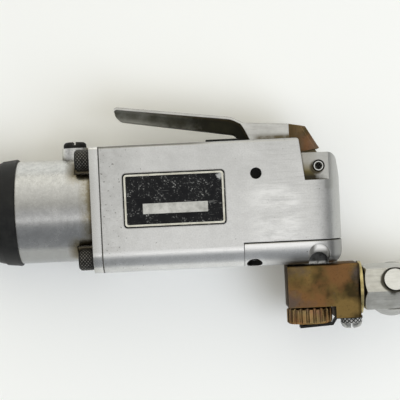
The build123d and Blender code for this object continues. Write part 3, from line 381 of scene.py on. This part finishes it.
def turned_aluminium():
    """Turned aluminium: faint rings round the axis, handling haze, and grime in the flange's corner and round the
    screw heads that is partly painted shade.
    """
    p = Paint("turned_aluminium", 1.0, 0.38)
    p.soften(0.3 * MM)
    x, y = p.at["X"], p.at["Y"]
    rings = p.noise(1900.0, 2.0, 0.6, (1.0, 0.03, 0.03))
    haze = p.noise(90.0, 5.0, 0.65)
    grain = p.noise(1400.0, 3.0, 0.7)
    mottle = p.noise(420.0, 5.0, 0.75, shift=4.0)
    colour = p.mix(p.ramp(haze, 0.3, 0.7), (0.40, 0.40, 0.40), (0.50, 0.50, 0.495))
    colour = p.mix(p.ramp(y, *CASE_BRIGHT, 0.0, 0.85), colour, (0.82, 0.82, 0.80))
    colour = p.mix(p.ramp(y, *CASE_DARK, 0.0, 0.7), colour, (0.33, 0.335, 0.33))
    colour = p.mix(p.ramp(mottle, 0.4, 0.7, 0.0, 0.45), colour, (0.26, 0.26, 0.255))
    colour = p.mix(p.ramp(rings, 0.35, 0.65, 0.0, 0.12), colour, (0.36, 0.36, 0.36))
    colour = p.mix(p.ramp(grain, 0.45, 0.75, 0.0, 0.35), colour, (0.30, 0.30, 0.295))
    flange = p.ramp(x, FLANGE_FACE - 0.2 * MM, FLANGE_FACE, 0.0, 0.75)
    flange_tone = p.mix(p.ramp(x, FLANGE_FACE, FLANGE_FACE + 3 * MM), (0.56, 0.555, 0.53), (0.74, 0.74, 0.73))
    colour = p.mix(flange, colour, flange_tone)
    colour = p.mix(p.times(p.edge, 0.3), colour, (0.82, 0.82, 0.81))

    low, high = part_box("case_screws")
    aside = p.math("ABSOLUTE", p.math("SUBTRACT", p.at["Z"], (low.z + high.z) / 2))
    screw_z = (high.z - low.z) / 2 - CAP_RADIUS
    upper = p.off_axis(y, high.y - CAP_RADIUS, aside, screw_z)
    lower = p.off_axis(y, low.y + CAP_RADIUS, aside, screw_z)
    # Grime round the screw heads and in the flange's corner, partly painted shade.
    reach = p.math("ADD", p.math("MINIMUM", upper, lower), p.ramp(mottle, 0.35, 0.65, -1.2 * MM, 1.2 * MM))
    barrel = p.ramp(x, FLANGE_FACE, FLANGE_FACE - 0.4 * MM)
    near_head = p.times(p.ramp(x, FLANGE_FACE - 12 * MM, FLANGE_FACE - 6 * MM), barrel)
    corner = p.times(p.ramp(x, FLANGE_FACE - 6 * MM, FLANGE_FACE - 1 * MM, 0.0, 0.75), barrel,
                     p.ramp(mottle, 0.36, 0.56, 0.45, 1.0))
    halo = p.times(p.ramp(reach, CAP_RADIUS + 2.25 * MM, CAP_RADIUS + 6.75 * MM, 0.9, 0.0), near_head)
    colour = p.mix(p.most(corner, halo), colour, (0.185, 0.145, 0.06))
    grime = p.times(p.ramp(reach, CAP_RADIUS + 0.85 * MM, CAP_RADIUS + 3.65 * MM, 0.95, 0.0), near_head)
    dirt_and_shade = p.most(p.ramp(p.corners(3.5 * MM), 0.12, 0.48, 0.0, 0.97), grime)
    colour = p.mix(dirt_and_shade, colour, (0.06, 0.046, 0.024))
    p.bump(p.math("ADD", rings, grain), 0.02 * MM, 0.4)
    return p.finish(colour, p.ramp(haze, 0.25, 0.75, 0.2, 0.3))


def rubber(name, dark, dusty, roughness):
    """Moulded rubber with a fine grain and a bloom of dust."""
    p = Paint(name, 0.0, roughness)
    p.shader.inputs["Specular IOR Level"].default_value = 0.25
    bloom = p.noise(140.0, 5.0, 0.65)
    grain = p.noise(2200.0, 2.0, 0.6)
    colour = p.mix(p.ramp(bloom, 0.42, 0.78), dark, dusty)
    p.bump(grain, 0.03 * MM, 0.5)
    return p.finish(colour, p.ramp(bloom, 0.3, 0.7, roughness - 0.08, roughness + 0.1))


def metal(name, light, dark, roughness, cloud_scale=180.0, edge=0.2, grime=0.5, pin_joint=None):
    """Plain metal with cloudy tone, fine scratches, worn bright edges and grime in its corners that is partly
    painted shade.

    Where a pin's joint is given, the metal is darker in a crescent beside the groove round the pin, on the nose
    side.
    """
    p = Paint(name, 1.0, roughness)
    p.soften(edge * MM)
    cloud = p.noise(cloud_scale, 4.0, 0.6)
    scratch = p.noise(900.0, 3.0, 0.6, (0.15, 1.0, 1.0))
    colour = p.mix(p.ramp(cloud, 0.3, 0.7), dark, light)
    colour = p.mix(p.ramp(scratch, 0.45, 0.8, 0.0, 0.4), colour, [0.55 * c for c in dark])
    colour = p.mix(p.times(p.edge, 0.6), colour, [min(1.0, 1.3 * c) for c in light])
    dirt_and_shade = p.ramp(p.corners(3.0 * grime * MM), 0.3 * grime, grime, 0.0, 0.92)
    if pin_joint:
        row = joint_row(pin_joint)
        at_x, at_y, at_z = row["pos_m"]
        along_y, along_z = row["axis"][1:]
        across = p.math("SUBTRACT", p.times(p.math("SUBTRACT", p.at["Y"], at_y), along_z),
                        p.times(p.math("SUBTRACT", p.at["Z"], at_z), along_y))
        off_centre = p.ragged(p.off_axis(p.at["X"], at_x - 0.9 * MM, across, -0.5 * MM), cloud, 0.4 * MM)
        dirt_and_shade = p.most(dirt_and_shade, p.ramp(off_centre, FOLD_RIM - 0.4 * MM, FOLD_RIM + 0.3 * MM, 0.9, 0.0))
    colour = p.mix(dirt_and_shade, colour, (0.03, 0.026, 0.016))
    p.bump(scratch, 0.03 * MM, 0.5)
    return p.finish(colour, p.ramp(cloud, 0.25, 0.75, roughness - 0.07, roughness + 0.1))


def nipple_steel():
    """Oiled dark steel, darkened further by painted shade under the cover, with a painted glint where the nipple
    meets the regulator.
    """
    p = Paint("nipple_steel", 1.0, 0.36)
    p.soften(0.3 * MM)
    cloud = p.noise(420.0, 4.0, 0.6)
    # Very dark: oiled steel, partly painted shade under the cover.
    colour = p.mix(p.ramp(cloud, 0.35, 0.65), (0.016, 0.016, 0.015), (0.085, 0.086, 0.087))
    # Painted glint along the bottom, next to the block.
    painted_glint = p.times(p.ramp(p.at["Y"], BLOCK_TOP + 1.8 * MM, BLOCK_TOP + 1.1 * MM),
                    p.ramp(cloud, 0.38, 0.55, 0.12, 0.7))
    colour = p.mix(painted_glint, colour, (0.62, 0.62, 0.60))
    colour = p.mix(p.times(p.edge, 0.5), colour, (0.45, 0.45, 0.44))
    p.bump(cloud, 0.03 * MM, 0.4)
    return p.finish(colour, p.ramp(cloud, 0.3, 0.7, 0.28, 0.44))


def roll_pin_steel():
    """Bright rolled pin, with painted shade making its outer edge and its hollow dark."""
    p = Paint("roll_pin_steel", 1.0, 0.3)
    cloud = p.noise(700.0, 3.0, 0.6)
    reach = p.off_axis(p.at["X"], PIN.x, p.at["Y"], PIN.y)
    colour = p.mix(p.ramp(cloud, 0.3, 0.7), (0.62, 0.62, 0.60), (0.86, 0.86, 0.84))
    # Painted shade: the gap round the pin and the pin's hollow made dark.
    shaded_rim = p.ramp(reach, PIN_RADIUS - 0.22 * MM, PIN_RADIUS - 0.08 * MM, 0.0, 0.95)
    colour = p.mix(shaded_rim, colour, (0.03, 0.028, 0.02))
    shaded_bore = p.ramp(reach, PIN_RADIUS - 0.44 * MM, PIN_RADIUS - 0.54 * MM, 0.0, 0.95)
    colour = p.mix(shaded_bore, colour, (0.02, 0.019, 0.014))
    p.bump(cloud, 0.02 * MM, 0.4)
    return p.finish(colour, p.ramp(cloud, 0.3, 0.7, 0.24, 0.36))


def black_oxide():
    """Blackened steel, worn to grey on its edges."""
    p = Paint("black_oxide_steel", 0.6, 0.45)
    p.shader.inputs["Specular Tint"].default_value = (0.3, 0.3, 0.3, 1.0)
    p.soften(0.2 * MM)
    wear = p.noise(700.0, 4.0, 0.65)
    cloud = p.noise(220.0, 3.0, 0.6)
    colour = p.mix(p.ramp(cloud, 0.3, 0.7), (0.012, 0.012, 0.012), (0.035, 0.034, 0.03))
    lightened = p.most(p.ramp(wear, 0.62, 0.82, 0.0, 0.5), p.times(p.edge, 0.5))
    colour = p.mix(lightened, colour, (0.30, 0.29, 0.265))
    p.bump(wear, 0.03 * MM, 0.5)
    return p.finish(colour, p.ramp(cloud, 0.25, 0.75, 0.36, 0.54))


def knurled(name, valley, ridge, low, high):
    """Knurled steel: grime in the valleys, metal worn bare on the peaks."""
    p = Paint(name, 0.85, 0.4)
    cloud = p.noise(500.0, 3.0, 0.6)
    peak = p.add("ShaderNodeAttribute", attribute_name="peak").outputs["Fac"]
    bare = p.times(p.ramp(peak, low, high), p.ramp(cloud, 0.32, 0.52, 0.25, 1.0))
    colour = p.mix(bare, p.mix(p.ramp(cloud, 0.3, 0.7), valley, [1.8 * c for c in valley]), ridge)
    p.bump(cloud, 0.03 * MM, 0.4)
    return p.finish(colour, p.ramp(cloud, 0.25, 0.75, 0.32, 0.5))


# The lever's web: its slope, middle line and half width, its recess's end, and the mouth of the lever's slot.
WEB_SLOPE = 0.147
WEB_LINE = 39.6 * MM
WEB_HALF = 5.6 * MM
RECESS_END = 41.25 * MM
SLOT_MOUTH = 29.9 * MM


def lever_steel():
    """Bare steel where hands rub it; dark in the recess beside the web, a dark finish deepened by painted shade,
    with painted light towards the tip and on the web's rounded edges.
    """
    p = Paint("lever_steel", 1.0, 0.3)
    p.shader.inputs["Specular IOR Level"].default_value = 0.2
    p.soften(0.35 * MM)
    x, y = p.at["X"], p.at["Y"]
    cloud = p.noise(120.0, 4.0, 0.65)
    blotch = p.noise(190.0, 4.0, 0.7, shift=5.0)
    scratch = p.noise(800.0, 3.0, 0.6, (0.12, 1.0, 1.0))
    bare = p.mix(p.ramp(cloud, 0.3, 0.7), (0.52, 0.515, 0.49), (0.72, 0.715, 0.69))
    bare = p.mix(p.ramp(scratch, 0.45, 0.8, 0.0, 0.4), bare, (0.30, 0.295, 0.27))
    # Edges made lighter: worn bare, partly a painted highlight.
    bare = p.mix(p.times(p.edge, 0.7), bare, (0.95, 0.95, 0.93))
    # Painted shade on the rounded top edge, as if it gave back something dark.
    bare = p.mix(p.times(p.upper_edge(), 0.9), bare, (0.13, 0.125, 0.11))
    # Painted shadow where the flat goes down into the slot.
    near_slot = p.times(p.ramp(y, SLOT_MOUTH + 0.7 * MM, SLOT_MOUTH - 0.7 * MM),
                        p.ramp(x, RECESS_END + 0.75 * MM, RECESS_END + 3.75 * MM))
    bare = p.mix(p.times(near_slot, p.ramp(blotch, 0.3, 0.5, 0.6, 0.95)), bare, (0.12, 0.098, 0.055))

    # Painted light: the recess is paler towards the tip, where more light reaches it.
    along = p.ramp(p.ragged(x, blotch, 9 * MM), LEVER_TIP - 10.1 * MM, LEVER_TIP + 37.9 * MM)
    black = p.mix(p.math("POWER", along, 0.5), (0.30, 0.295, 0.25), (0.014, 0.013, 0.007))
    black = p.mix(p.ramp(cloud, 0.4, 0.7, 0.0, 0.6), black, (0.036, 0.033, 0.015))
    # Painted light on the web's rounded top and bottom near the tip.
    across = p.math("ADD", y, p.times(x, WEB_SLOPE))
    lightened = p.most(p.ramp(across, WEB_LINE + 1 * MM, WEB_LINE + 3 * MM),
                    p.ramp(across, WEB_LINE - 1 * MM, WEB_LINE - 3 * MM, 0.0, 0.7))
    lightened = p.times(lightened, p.ramp(along, 0.25, 1.0, 0.9, 0.0))
    black = p.mix(lightened, black, (0.34, 0.335, 0.29))
    # The recess beside the web: a dark finish deepened by painted shade.
    recess = p.times(p.ramp(p.aside(), WEB_HALF - 0.3 * MM, WEB_HALF + 0.3 * MM, 1.0, 0.0),
                     p.ramp(x, RECESS_END - 0.25 * MM, RECESS_END + 0.25 * MM, 1.0, 0.0),
                     p.ramp(p.lean["Y"], 0.3, 0.6, 1.0, 0.0))
    colour = p.mix(recess, bare, black)
    # Grime under the top plate, partly painted shade.
    dirt_and_shade = p.times(p.ramp(p.corners(1.8 * MM), 0.16, 0.5),
                   p.ramp(x, LEVER_TIP - 0.1 * MM, LEVER_TIP + 35.9 * MM, 0.1, 0.85))
    colour = p.mix(dirt_and_shade, colour, (0.075, 0.055, 0.025))
    p.bump(scratch, 0.03 * MM, 0.5)
    p.feed(p.shader.inputs["Metallic"], p.ramp(recess, 0.0, 1.0, 1.0, 0.35))
    return p.finish(colour, p.ramp(recess, 0.0, 1.0, 0.3, 0.58))


def patina(name, metal_tone, brown, warm, purple, roughness, along=None):
    """Tarnished brass or bronze: brown and warm clouds, purple bloom, bare metal on the edges.

    Where two places along X are given, the tone goes from brown over warm to purple between them.
    """
    p = Paint(name, 0.9, roughness)
    p.shader.inputs["Specular Tint"].default_value = (0.35, 0.27, 0.18, 1.0)
    p.soften(0.4 * MM)
    cloud = p.noise(60.0, 3.0, 0.5)
    bloom = p.noise(75.0, 3.0, 0.5, shift=7.0)
    speck = p.noise(900.0, 3.0, 0.65)
    colour = p.mix(p.ramp(cloud, 0.42, 0.58), brown, metal_tone)
    colour = p.mix(p.ramp(bloom, 0.5, 0.64, 0.0, 0.85), colour, warm)
    colour = p.mix(p.ramp(p.noise(70.0, 4.0, 0.6, shift=13.0), 0.52, 0.70, 0.0, 0.8), colour, purple)
    if along:
        start, end = along
        middle = (start + end) / 2
        x = p.ragged(p.at["X"], cloud, 1.2 * MM)
        colour = p.mix(p.ramp(x, start, middle, 0.75, 0.0), colour, brown)
        colour = p.mix(p.ramp(x, middle, end, 0.0, 0.7), colour, purple)
    colour = p.mix(p.ramp(speck, 0.55, 0.8, 0.0, 0.6), colour, (0.035, 0.026, 0.014))
    # Edges made lighter: bare metal, partly a painted highlight.
    colour = p.mix(p.times(p.edge, 0.75), colour, [min(1.0, 2.4 * c) for c in metal_tone])
    # Grime in corners, partly painted shade; and painted shade on faces turned towards the nose, away from the
    # light.
    dirt_and_shade = p.most(p.ramp(p.corners(1.5 * MM), 0.15, 0.5, 0.0, 0.92),
                  p.ramp(p.lean["X"], -0.5, -0.9, 0.0, 0.9))
    colour = p.mix(dirt_and_shade, colour, (0.02, 0.016, 0.009))
    p.bump(speck, 0.04 * MM, 0.6)
    return p.finish(colour, p.ramp(cloud, 0.25, 0.75, roughness - 0.08, roughness + 0.12))


# The chip near the plate's corner: its place from the two edges, and its size.
CHIP_INSET_X, CHIP_INSET_Y = 1.9 * MM, 2.6 * MM
CHIP_RADIUS = 1.4 * MM


def enamel():
    """Black enamel, scratched and rubbed through in places, chipped at one corner."""
    p = Paint("plate_enamel", 0.0, 0.34)
    p.shader.inputs["Specular IOR Level"].default_value = 0.1
    p.soften(0.3 * MM)
    rub = p.noise(160.0, 5.0, 0.7)
    fine = p.noise(1300.0, 4.0, 0.7)
    streak = p.noise(420.0, 3.0, 0.6, (0.12, 1.0, 1.0))
    worn = p.times(p.ramp(rub, 0.46, 0.64), p.ramp(fine, 0.56, 0.66))
    worn = p.most(worn, p.ramp(streak, 0.64, 0.72, 0.0, 0.35))
    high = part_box("name_plate")[1]
    chip = p.off_axis(p.at["X"], high.x - CHIP_INSET_X, p.at["Y"], high.y - CHIP_INSET_Y)
    chip = p.ragged(chip, fine, 0.9 * MM)
    worn = p.most(worn, p.ramp(chip, CHIP_RADIUS - 0.4 * MM, CHIP_RADIUS + 0.4 * MM, 0.9, 0.0))
    colour = p.mix(p.ramp(rub, 0.3, 0.7), (0.006, 0.006, 0.007), (0.014, 0.014, 0.014))
    colour = p.mix(worn, colour, (0.46, 0.455, 0.42))
    p.bump(p.times(worn, -1.0), 0.03 * MM, 0.5)
    return p.finish(colour, p.ramp(rub, 0.3, 0.7, 0.28, 0.44))


def bare_strip(name, light, dark):
    """Pale lacquer or bare metal on the plate, stained and scratched."""
    p = Paint(name, 0.1, 0.45)
    darkening = p.noise(260.0, 4.0, 0.65)
    fine = p.noise(1500.0, 3.0, 0.65)
    colour = p.mix(p.ramp(darkening, 0.35, 0.7), light, dark)
    colour = p.mix(p.ramp(fine, 0.62, 0.74, 0.0, 0.7), colour, (0.10, 0.095, 0.08))
    p.bump(fine, 0.02 * MM, 0.4)
    return p.finish(colour)


def phenolic():
    """Laminated blade stock with its cloth layers showing."""
    p = Paint("blade_phenolic", 0.0, 0.5)
    layers = p.noise(1800.0, 2.0, 0.5, (0.05, 1.0, 1.0))
    colour = p.mix(p.ramp(layers, 0.35, 0.65), (0.20, 0.11, 0.05), (0.36, 0.22, 0.11))
    p.bump(layers, 0.03 * MM, 0.5)
    return p.finish(colour)


# One paint for each material slot, and own paints for nodes that look different from their slot.
paints = {
    "cast_aluminium": housing_aluminium(),
    "turned_aluminium": turned_aluminium(),
    "boot_rubber": rubber("boot_rubber", (0.007, 0.007, 0.007), (0.022, 0.022, 0.019), 0.5),
    "gasket_sheet": rubber("gasket_sheet", (0.045, 0.042, 0.036), (0.12, 0.11, 0.09), 0.7),
    "seal_rubber": rubber("seal_rubber", (0.005, 0.005, 0.005), (0.016, 0.016, 0.014), 0.5),
    "black_oxide_steel": black_oxide(),
    "plate_enamel": enamel(),
    "lever_steel": lever_steel(),
    "heel_bronze": patina("heel_bronze", (0.20, 0.13, 0.065), (0.075, 0.058, 0.026), (0.23, 0.115, 0.06),
                          (0.17, 0.15, 0.12), 0.42, (HEEL_FRONT + 2 * MM, HEEL_REAR - 0.5 * MM)),
    "bright_steel": metal("bright_steel", (0.72, 0.72, 0.695), (0.50, 0.50, 0.48), 0.34),
    "tool_steel": metal("tool_steel", (0.50, 0.50, 0.50), (0.34, 0.34, 0.34), 0.34),
    "regulator_brass": patina("regulator_brass", (0.22, 0.145, 0.05), (0.05, 0.036, 0.015),
                              (0.215, 0.105, 0.042), (0.11, 0.088, 0.078), 0.36),
    "bushing_bronze": patina("bushing_bronze", (0.62, 0.44, 0.20), (0.42, 0.28, 0.12), (0.5, 0.3, 0.13),
                             (0.4, 0.27, 0.14), 0.34),
    "blade_phenolic": phenolic(),
}
own_paints = {
    "exhaust_cover": cover_aluminium(),
    "detent_screw": metal("detent_steel", (0.60, 0.60, 0.58), (0.20, 0.20, 0.19), 0.32, 800.0),
    "inlet_nipple": nipple_steel(),
    "lever_pin": roll_pin_steel(),
    "regulator_wheel": patina("wheel_brass", (0.34, 0.24, 0.105), (0.16, 0.105, 0.045), (0.36, 0.18, 0.075),
                              (0.20, 0.13, 0.11), 0.32),
    "swivel_body": metal("swivel_steel", (0.64, 0.635, 0.60), (0.42, 0.41, 0.375), 0.34, 150.0, 0.3, 0.35,
                         "swivel_fold"),
    "swivel_tail": metal("tail_steel", (0.54, 0.54, 0.52), (0.36, 0.36, 0.345), 0.36, 150.0),
    "swivel_pin": metal("pin_steel", (0.80, 0.80, 0.78), (0.66, 0.66, 0.64), 0.36),
    "swivel_gland": metal("rubbed_brass", (0.62, 0.53, 0.27), (0.36, 0.28, 0.11), 0.3),
}
knurled_black = knurled("knurled_black", (0.012, 0.0115, 0.01), (0.20, 0.19, 0.17), 0.3, 0.75)
knurled_bright = knurled("knurled_bright", (0.01, 0.01, 0.009), (0.85, 0.85, 0.83), 0.25, 0.6)
cream = bare_strip("plate_cream", (0.72, 0.69, 0.58), (0.50, 0.47, 0.37))
strip_tone = bare_strip("plate_bare", (0.60, 0.585, 0.53), (0.34, 0.33, 0.29))

for entry in frame["record"]["subparts"]:
    materials = nodes[entry["node"]].data.materials
    materials.clear()
    materials.append(own_paints.get(entry["node"], paints[entry["material_slot"]]))


def show(name, data):
    """Puts a mesh, lamp or camera into the scene."""
    obj = bpy.data.objects.new(name, data)
    bpy.context.scene.collection.objects.link(obj)
    return obj


def piece(name, points, faces, material, body):
    """Adds one mesh that rides on a body and takes its finish from a slot."""
    mesh = bpy.data.meshes.new(name)
    mesh.from_pydata(points, [], faces)
    mesh.update()
    obj = show(name, mesh)
    obj.data.materials.append(material)
    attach(obj, body)
    return obj


def throttle_coil():
    """The throttle spring as a copy that rides on the housing, with the part itself hidden."""
    coil = show("throttle_coil", nodes["throttle_spring"].data.copy())
    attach(coil, "housing")
    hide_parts("throttle_spring")
    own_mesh(coil)


throttle_coil()

# Diamond knurl: a sleeve with low points on one half of a lattice and peaks on the other.
KNURL_HEIGHT = 0.22 * MM
KNURL_FLOOR = 0.02 * MM
KNURL_LIP = 0.1 * MM


def knurl(name, radius, start, end, around, rows, place, material):
    """The function given as place puts a point along the axis and two across it into the part's frame."""
    points = []
    faces = []
    stands = []
    columns = 2 * around

    def add_row(along, stand_of):
        for i in range(columns):
            stand = stand_of(i)
            angle = 2 * math.pi * i / columns
            reach = radius + stand
            points.append(place(along, reach * math.cos(angle), reach * math.sin(angle)))
            stands.append(max(0.0, stand / KNURL_HEIGHT))

    def at(i, j):
        return j * columns + i % columns

    for j in range(rows + 1):
        add_row(start + (end - start) * j / rows, lambda i: KNURL_HEIGHT if (i + j) % 2 else KNURL_FLOOR)
    for j in range(rows + 1):
        for i in range(1 - j % 2, columns, 2):
            if j < rows:
                faces.append((at(i, j), at(i, j + 1), at(i + 1, j)))
                faces.append((at(i, j), at(i - 1, j), at(i, j + 1)))
            if j > 0:
                faces.append((at(i, j), at(i + 1, j), at(i, j - 1)))
                faces.append((at(i, j), at(i, j - 1), at(i - 1, j)))
    for lip, (along, j) in enumerate(((start, 0), (end, rows))):
        add_row(along, lambda i: -KNURL_LIP)
        for i in range(columns):
            faces.append((at(i, j), at(i + 1, j), at(i + 1, rows + 1 + lip), at(i, rows + 1 + lip)))
    for i in range(columns):
        faces.append((at(i, rows + 1), at(i + 1, rows + 1), at(i + 1, rows + 2), at(i, rows + 2)))
    sleeve = piece(name, points, faces, material, "housing")
    peak = sleeve.data.attributes.new("peak", "FLOAT", "POINT")
    for index, stand in enumerate(stands):
        peak.data[index].value = stand


CAP_HEIGHT = 6.0 * MM
CAP_CHAMFER = 0.8 * MM
CAP_FOOT = 0.3 * MM
CAP_AROUND, CAP_ROWS = 18, 7
DETENT_RADIUS = 4.8 * MM
DETENT_ROUND = 2.6 * MM
DETENT_BAND = 1.9 * MM
DETENT_AROUND, DETENT_ROWS = 15, 2


def screw_knurls():
    low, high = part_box("case_screws")
    number = 0
    for y in (low.y + CAP_RADIUS, high.y - CAP_RADIUS):
        for z in (low.z + CAP_RADIUS, high.z - CAP_RADIUS):
            number += 1
            knurl(f"screw_knurl_{number}", CAP_RADIUS, low.x + CAP_CHAMFER, low.x + CAP_HEIGHT - CAP_FOOT,
                  CAP_AROUND, CAP_ROWS, lambda along, a, b: (along, y + a, z + b), knurled_black)


def detent_knurl():
    middle = middle_of("detent_screw")
    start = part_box("detent_screw")[0].y + DETENT_ROUND
    knurl("detent_knurl", DETENT_RADIUS, start, start + DETENT_BAND, DETENT_AROUND, DETENT_ROWS,
          lambda along, a, b: (middle.x + a, along, middle.z + b), knurled_bright)


screw_knurls()
detent_knurl()

# Name plate: a pale border line and a bare strip on the black field.
BORDER_INSET = 0.55 * MM
BORDER_WIDTH = 0.8 * MM
BORDER_CORNERS = (1.3 * MM, 0.7 * MM)
PRINT_HEIGHT = 0.02 * MM
CORNER_STEPS = 6
STRIP_ALONG = (0.19, 0.825)
STRIP_UP = (0.245, 0.435)
STRIP_CORNER = 0.25 * MM


def rounded_loop(x0, x1, y0, y1, radius, z):
    """Points round a rectangle with rounded corners, counter-clockwise."""
    loop = []
    corners = [(x1 - radius, y0 + radius, -90), (x1 - radius, y1 - radius, 0),
               (x0 + radius, y1 - radius, 90), (x0 + radius, y0 + radius, 180)]
    for cx, cy, start in corners:
        for step in range(CORNER_STEPS + 1):
            angle = math.radians(start + 90 * step / CORNER_STEPS)
            loop.append((cx + radius * math.cos(angle), cy + radius * math.sin(angle), z))
    return loop


def plate_border():
    lo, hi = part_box("name_plate")
    top = hi.z + PRINT_HEIGHT
    loops = []
    for inset, radius in zip((BORDER_INSET, BORDER_INSET + BORDER_WIDTH), BORDER_CORNERS):
        loops.append(rounded_loop(lo.x + inset, hi.x - inset, lo.y + inset, hi.y - inset, radius, top))
    count = len(loops[0])
    points = loops[0] + loops[1] + [(x, y, hi.z) for x, y, z in loops[0] + loops[1]]
    faces = []
    for i in range(count):
        k = (i + 1) % count
        faces.append((i, k, count + k, count + i))
        faces.append((2 * count + i, 2 * count + k, k, i))
        faces.append((count + i, count + k, 3 * count + k, 3 * count + i))
        faces.append((2 * count + k, 2 * count + i, 3 * count + i, 3 * count + k))
    piece("plate_border", points, faces, cream, "housing")


def plate_strip():
    lo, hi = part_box("name_plate")
    x0, x1 = (lo.x + share * (hi.x - lo.x) for share in STRIP_ALONG)
    y0, y1 = (lo.y + share * (hi.y - lo.y) for share in STRIP_UP)
    top = rounded_loop(x0, x1, y0, y1, STRIP_CORNER, hi.z + PRINT_HEIGHT)
    count = len(top)
    points = top + [(x, y, hi.z) for x, y, z in top]
    faces = [tuple(range(count)), tuple(range(2 * count - 1, count - 1, -1))]
    for i in range(count):
        k = (i + 1) % count
        faces.append((count + i, count + k, k, i))
    piece("plate_strip", points, faces, strip_tone, "housing")


plate_border()
plate_strip()

# Floor, light and camera.
FLOOR_REACH = 3.0
FLOOR_DROP = -0.2 * MM
FLOOR_LIFT = 0.05
ROOM_SLOPE = (-0.08, 0.5, 0.3)
ROOM_SPAN = (-0.5, 0.6)
VIEW_PLACE = (17.06 * MM, 2.06 * MM, 645 * MM)
VIEW_TURN = math.radians(-2.65)
VIEW_SENSOR, VIEW_LENS = 36.0, 121.97
VIEW_CLIP = (0.01, 20.0)


def floor_paint():
    """Pale floor that keeps the shadows, lifted a little for the camera and for reflections."""
    p = Paint("floor_white", 0.0, 0.75)
    cloud = p.noise(4.0, 3.0, 0.5)
    rays = p.add("ShaderNodeLightPath").outputs
    seen = p.most(rays["Is Camera Ray"], rays["Is Glossy Ray"], rays["Is Transmission Ray"])
    p.shader.inputs["Emission Color"].default_value = (1.0, 0.97, 0.84, 1.0)
    p.feed(p.shader.inputs["Emission Strength"], p.times(seen, FLOOR_LIFT))
    return p.finish(p.mix(p.ramp(cloud, 0.3, 0.7), (0.91, 0.90, 0.845), (0.925, 0.915, 0.86)))


def add_floor():
    mesh = bpy.data.meshes.new("floor")
    signs = ((-1, -1), (1, -1), (1, 1), (-1, 1))
    corners = [(x * FLOOR_REACH, y * FLOOR_REACH, FLOOR_DROP) for x, y in signs]
    mesh.from_pydata(corners, [], [(0, 1, 2, 3)])
    obj = show("floor", mesh)
    obj.data.materials.append(floor_paint())


def add_world():
    """Soft room light: pale warm backdrop on the lever's side, dimmer and cooler room on the other."""
    world = bpy.data.worlds.new("studio")
    bpy.context.scene.world = world
    world.use_nodes = True
    w = Nodes(world.node_tree)
    w.tree.nodes.clear()
    place = w.add("ShaderNodeTexCoord").outputs["Generated"]
    height = w.dot(place, ROOM_SLOPE)
    levels = w.add("ShaderNodeValToRGB")
    w.feed(levels.inputs["Fac"], w.ramp(height, *ROOM_SPAN))
    cool, plain, warm = (0.965, 1.0, 1.03), (1.0, 1.0, 0.985), (1.0, 0.985, 0.905)
    stops = [(0.0, 0.50, cool), (0.09, 0.42, cool), (0.227, 0.36, cool), (0.41, 0.40, cool),
             (0.53, 0.60, plain), (0.575, 1.75, plain), (0.625, 1.0, plain), (0.727, 0.79, plain),
             (0.836, 0.78, warm), (0.927, 1.10, warm), (0.99, 1.35, warm)]
    elements = levels.color_ramp.elements
    while len(elements) < len(stops):
        elements.new(0.5)
    for element, (position, level, tint) in zip(elements, stops):
        element.position = position
        element.color = (*(level * share for share in tint), 1.0)
    light = w.add("ShaderNodeBackground")
    w.feed(light.inputs["Color"], levels.outputs["Color"])
    w.feed(light.inputs["Strength"], w.ramp(w.math("ABSOLUTE", w.split(place)["X"]), 0.25, 0.85, 1.0, 0.55))
    seen = w.add("ShaderNodeBackground")
    seen.inputs["Color"].default_value = (0.9, 0.9, 0.885, 1.0)
    pick = w.add("ShaderNodeMixShader")
    w.feed(pick.inputs[0], w.add("ShaderNodeLightPath").outputs["Is Camera Ray"])
    w.feed(pick.inputs[1], light.outputs[0])
    w.feed(pick.inputs[2], seen.outputs[0])
    w.feed(w.add("ShaderNodeOutputWorld").inputs["Surface"], pick.outputs[0])


def add_lamp(name, aim, direction, distance, size, power, colour):
    """Square soft lamp that looks at a point from a direction."""
    data = bpy.data.lights.new(name, "AREA")
    data.size = size
    data.energy = power
    data.color = colour
    lamp = show(name, data)
    towards = Vector(direction).normalized()
    lamp.location = Vector(aim) + distance * towards
    lamp.rotation_mode = "QUATERNION"
    lamp.rotation_quaternion = towards.to_track_quat("Z", "Y")
    lamp.visible_glossy = False


def add_camera():
    """Straight above the tool, turned so that the hose end points a little up the frame."""
    data = bpy.data.cameras.new("photo_view")
    data.sensor_width = VIEW_SENSOR
    data.lens = VIEW_LENS
    data.clip_start, data.clip_end = VIEW_CLIP
    camera = show("photo_view", data)
    camera.location = VIEW_PLACE
    camera.rotation_euler = (0.0, 0.0, VIEW_TURN)
    bpy.context.scene.camera = camera


add_floor()
add_world()
add_lamp("key_light", aim=(20 * MM, 0.0, 20 * MM), direction=(0.6, -0.45, 1.0), distance=2.0, size=1.3,
         power=20.5, colour=(0.77, 0.84, 1.0))
add_camera()
bpy.context.scene.view_settings.view_transform = "Standard"
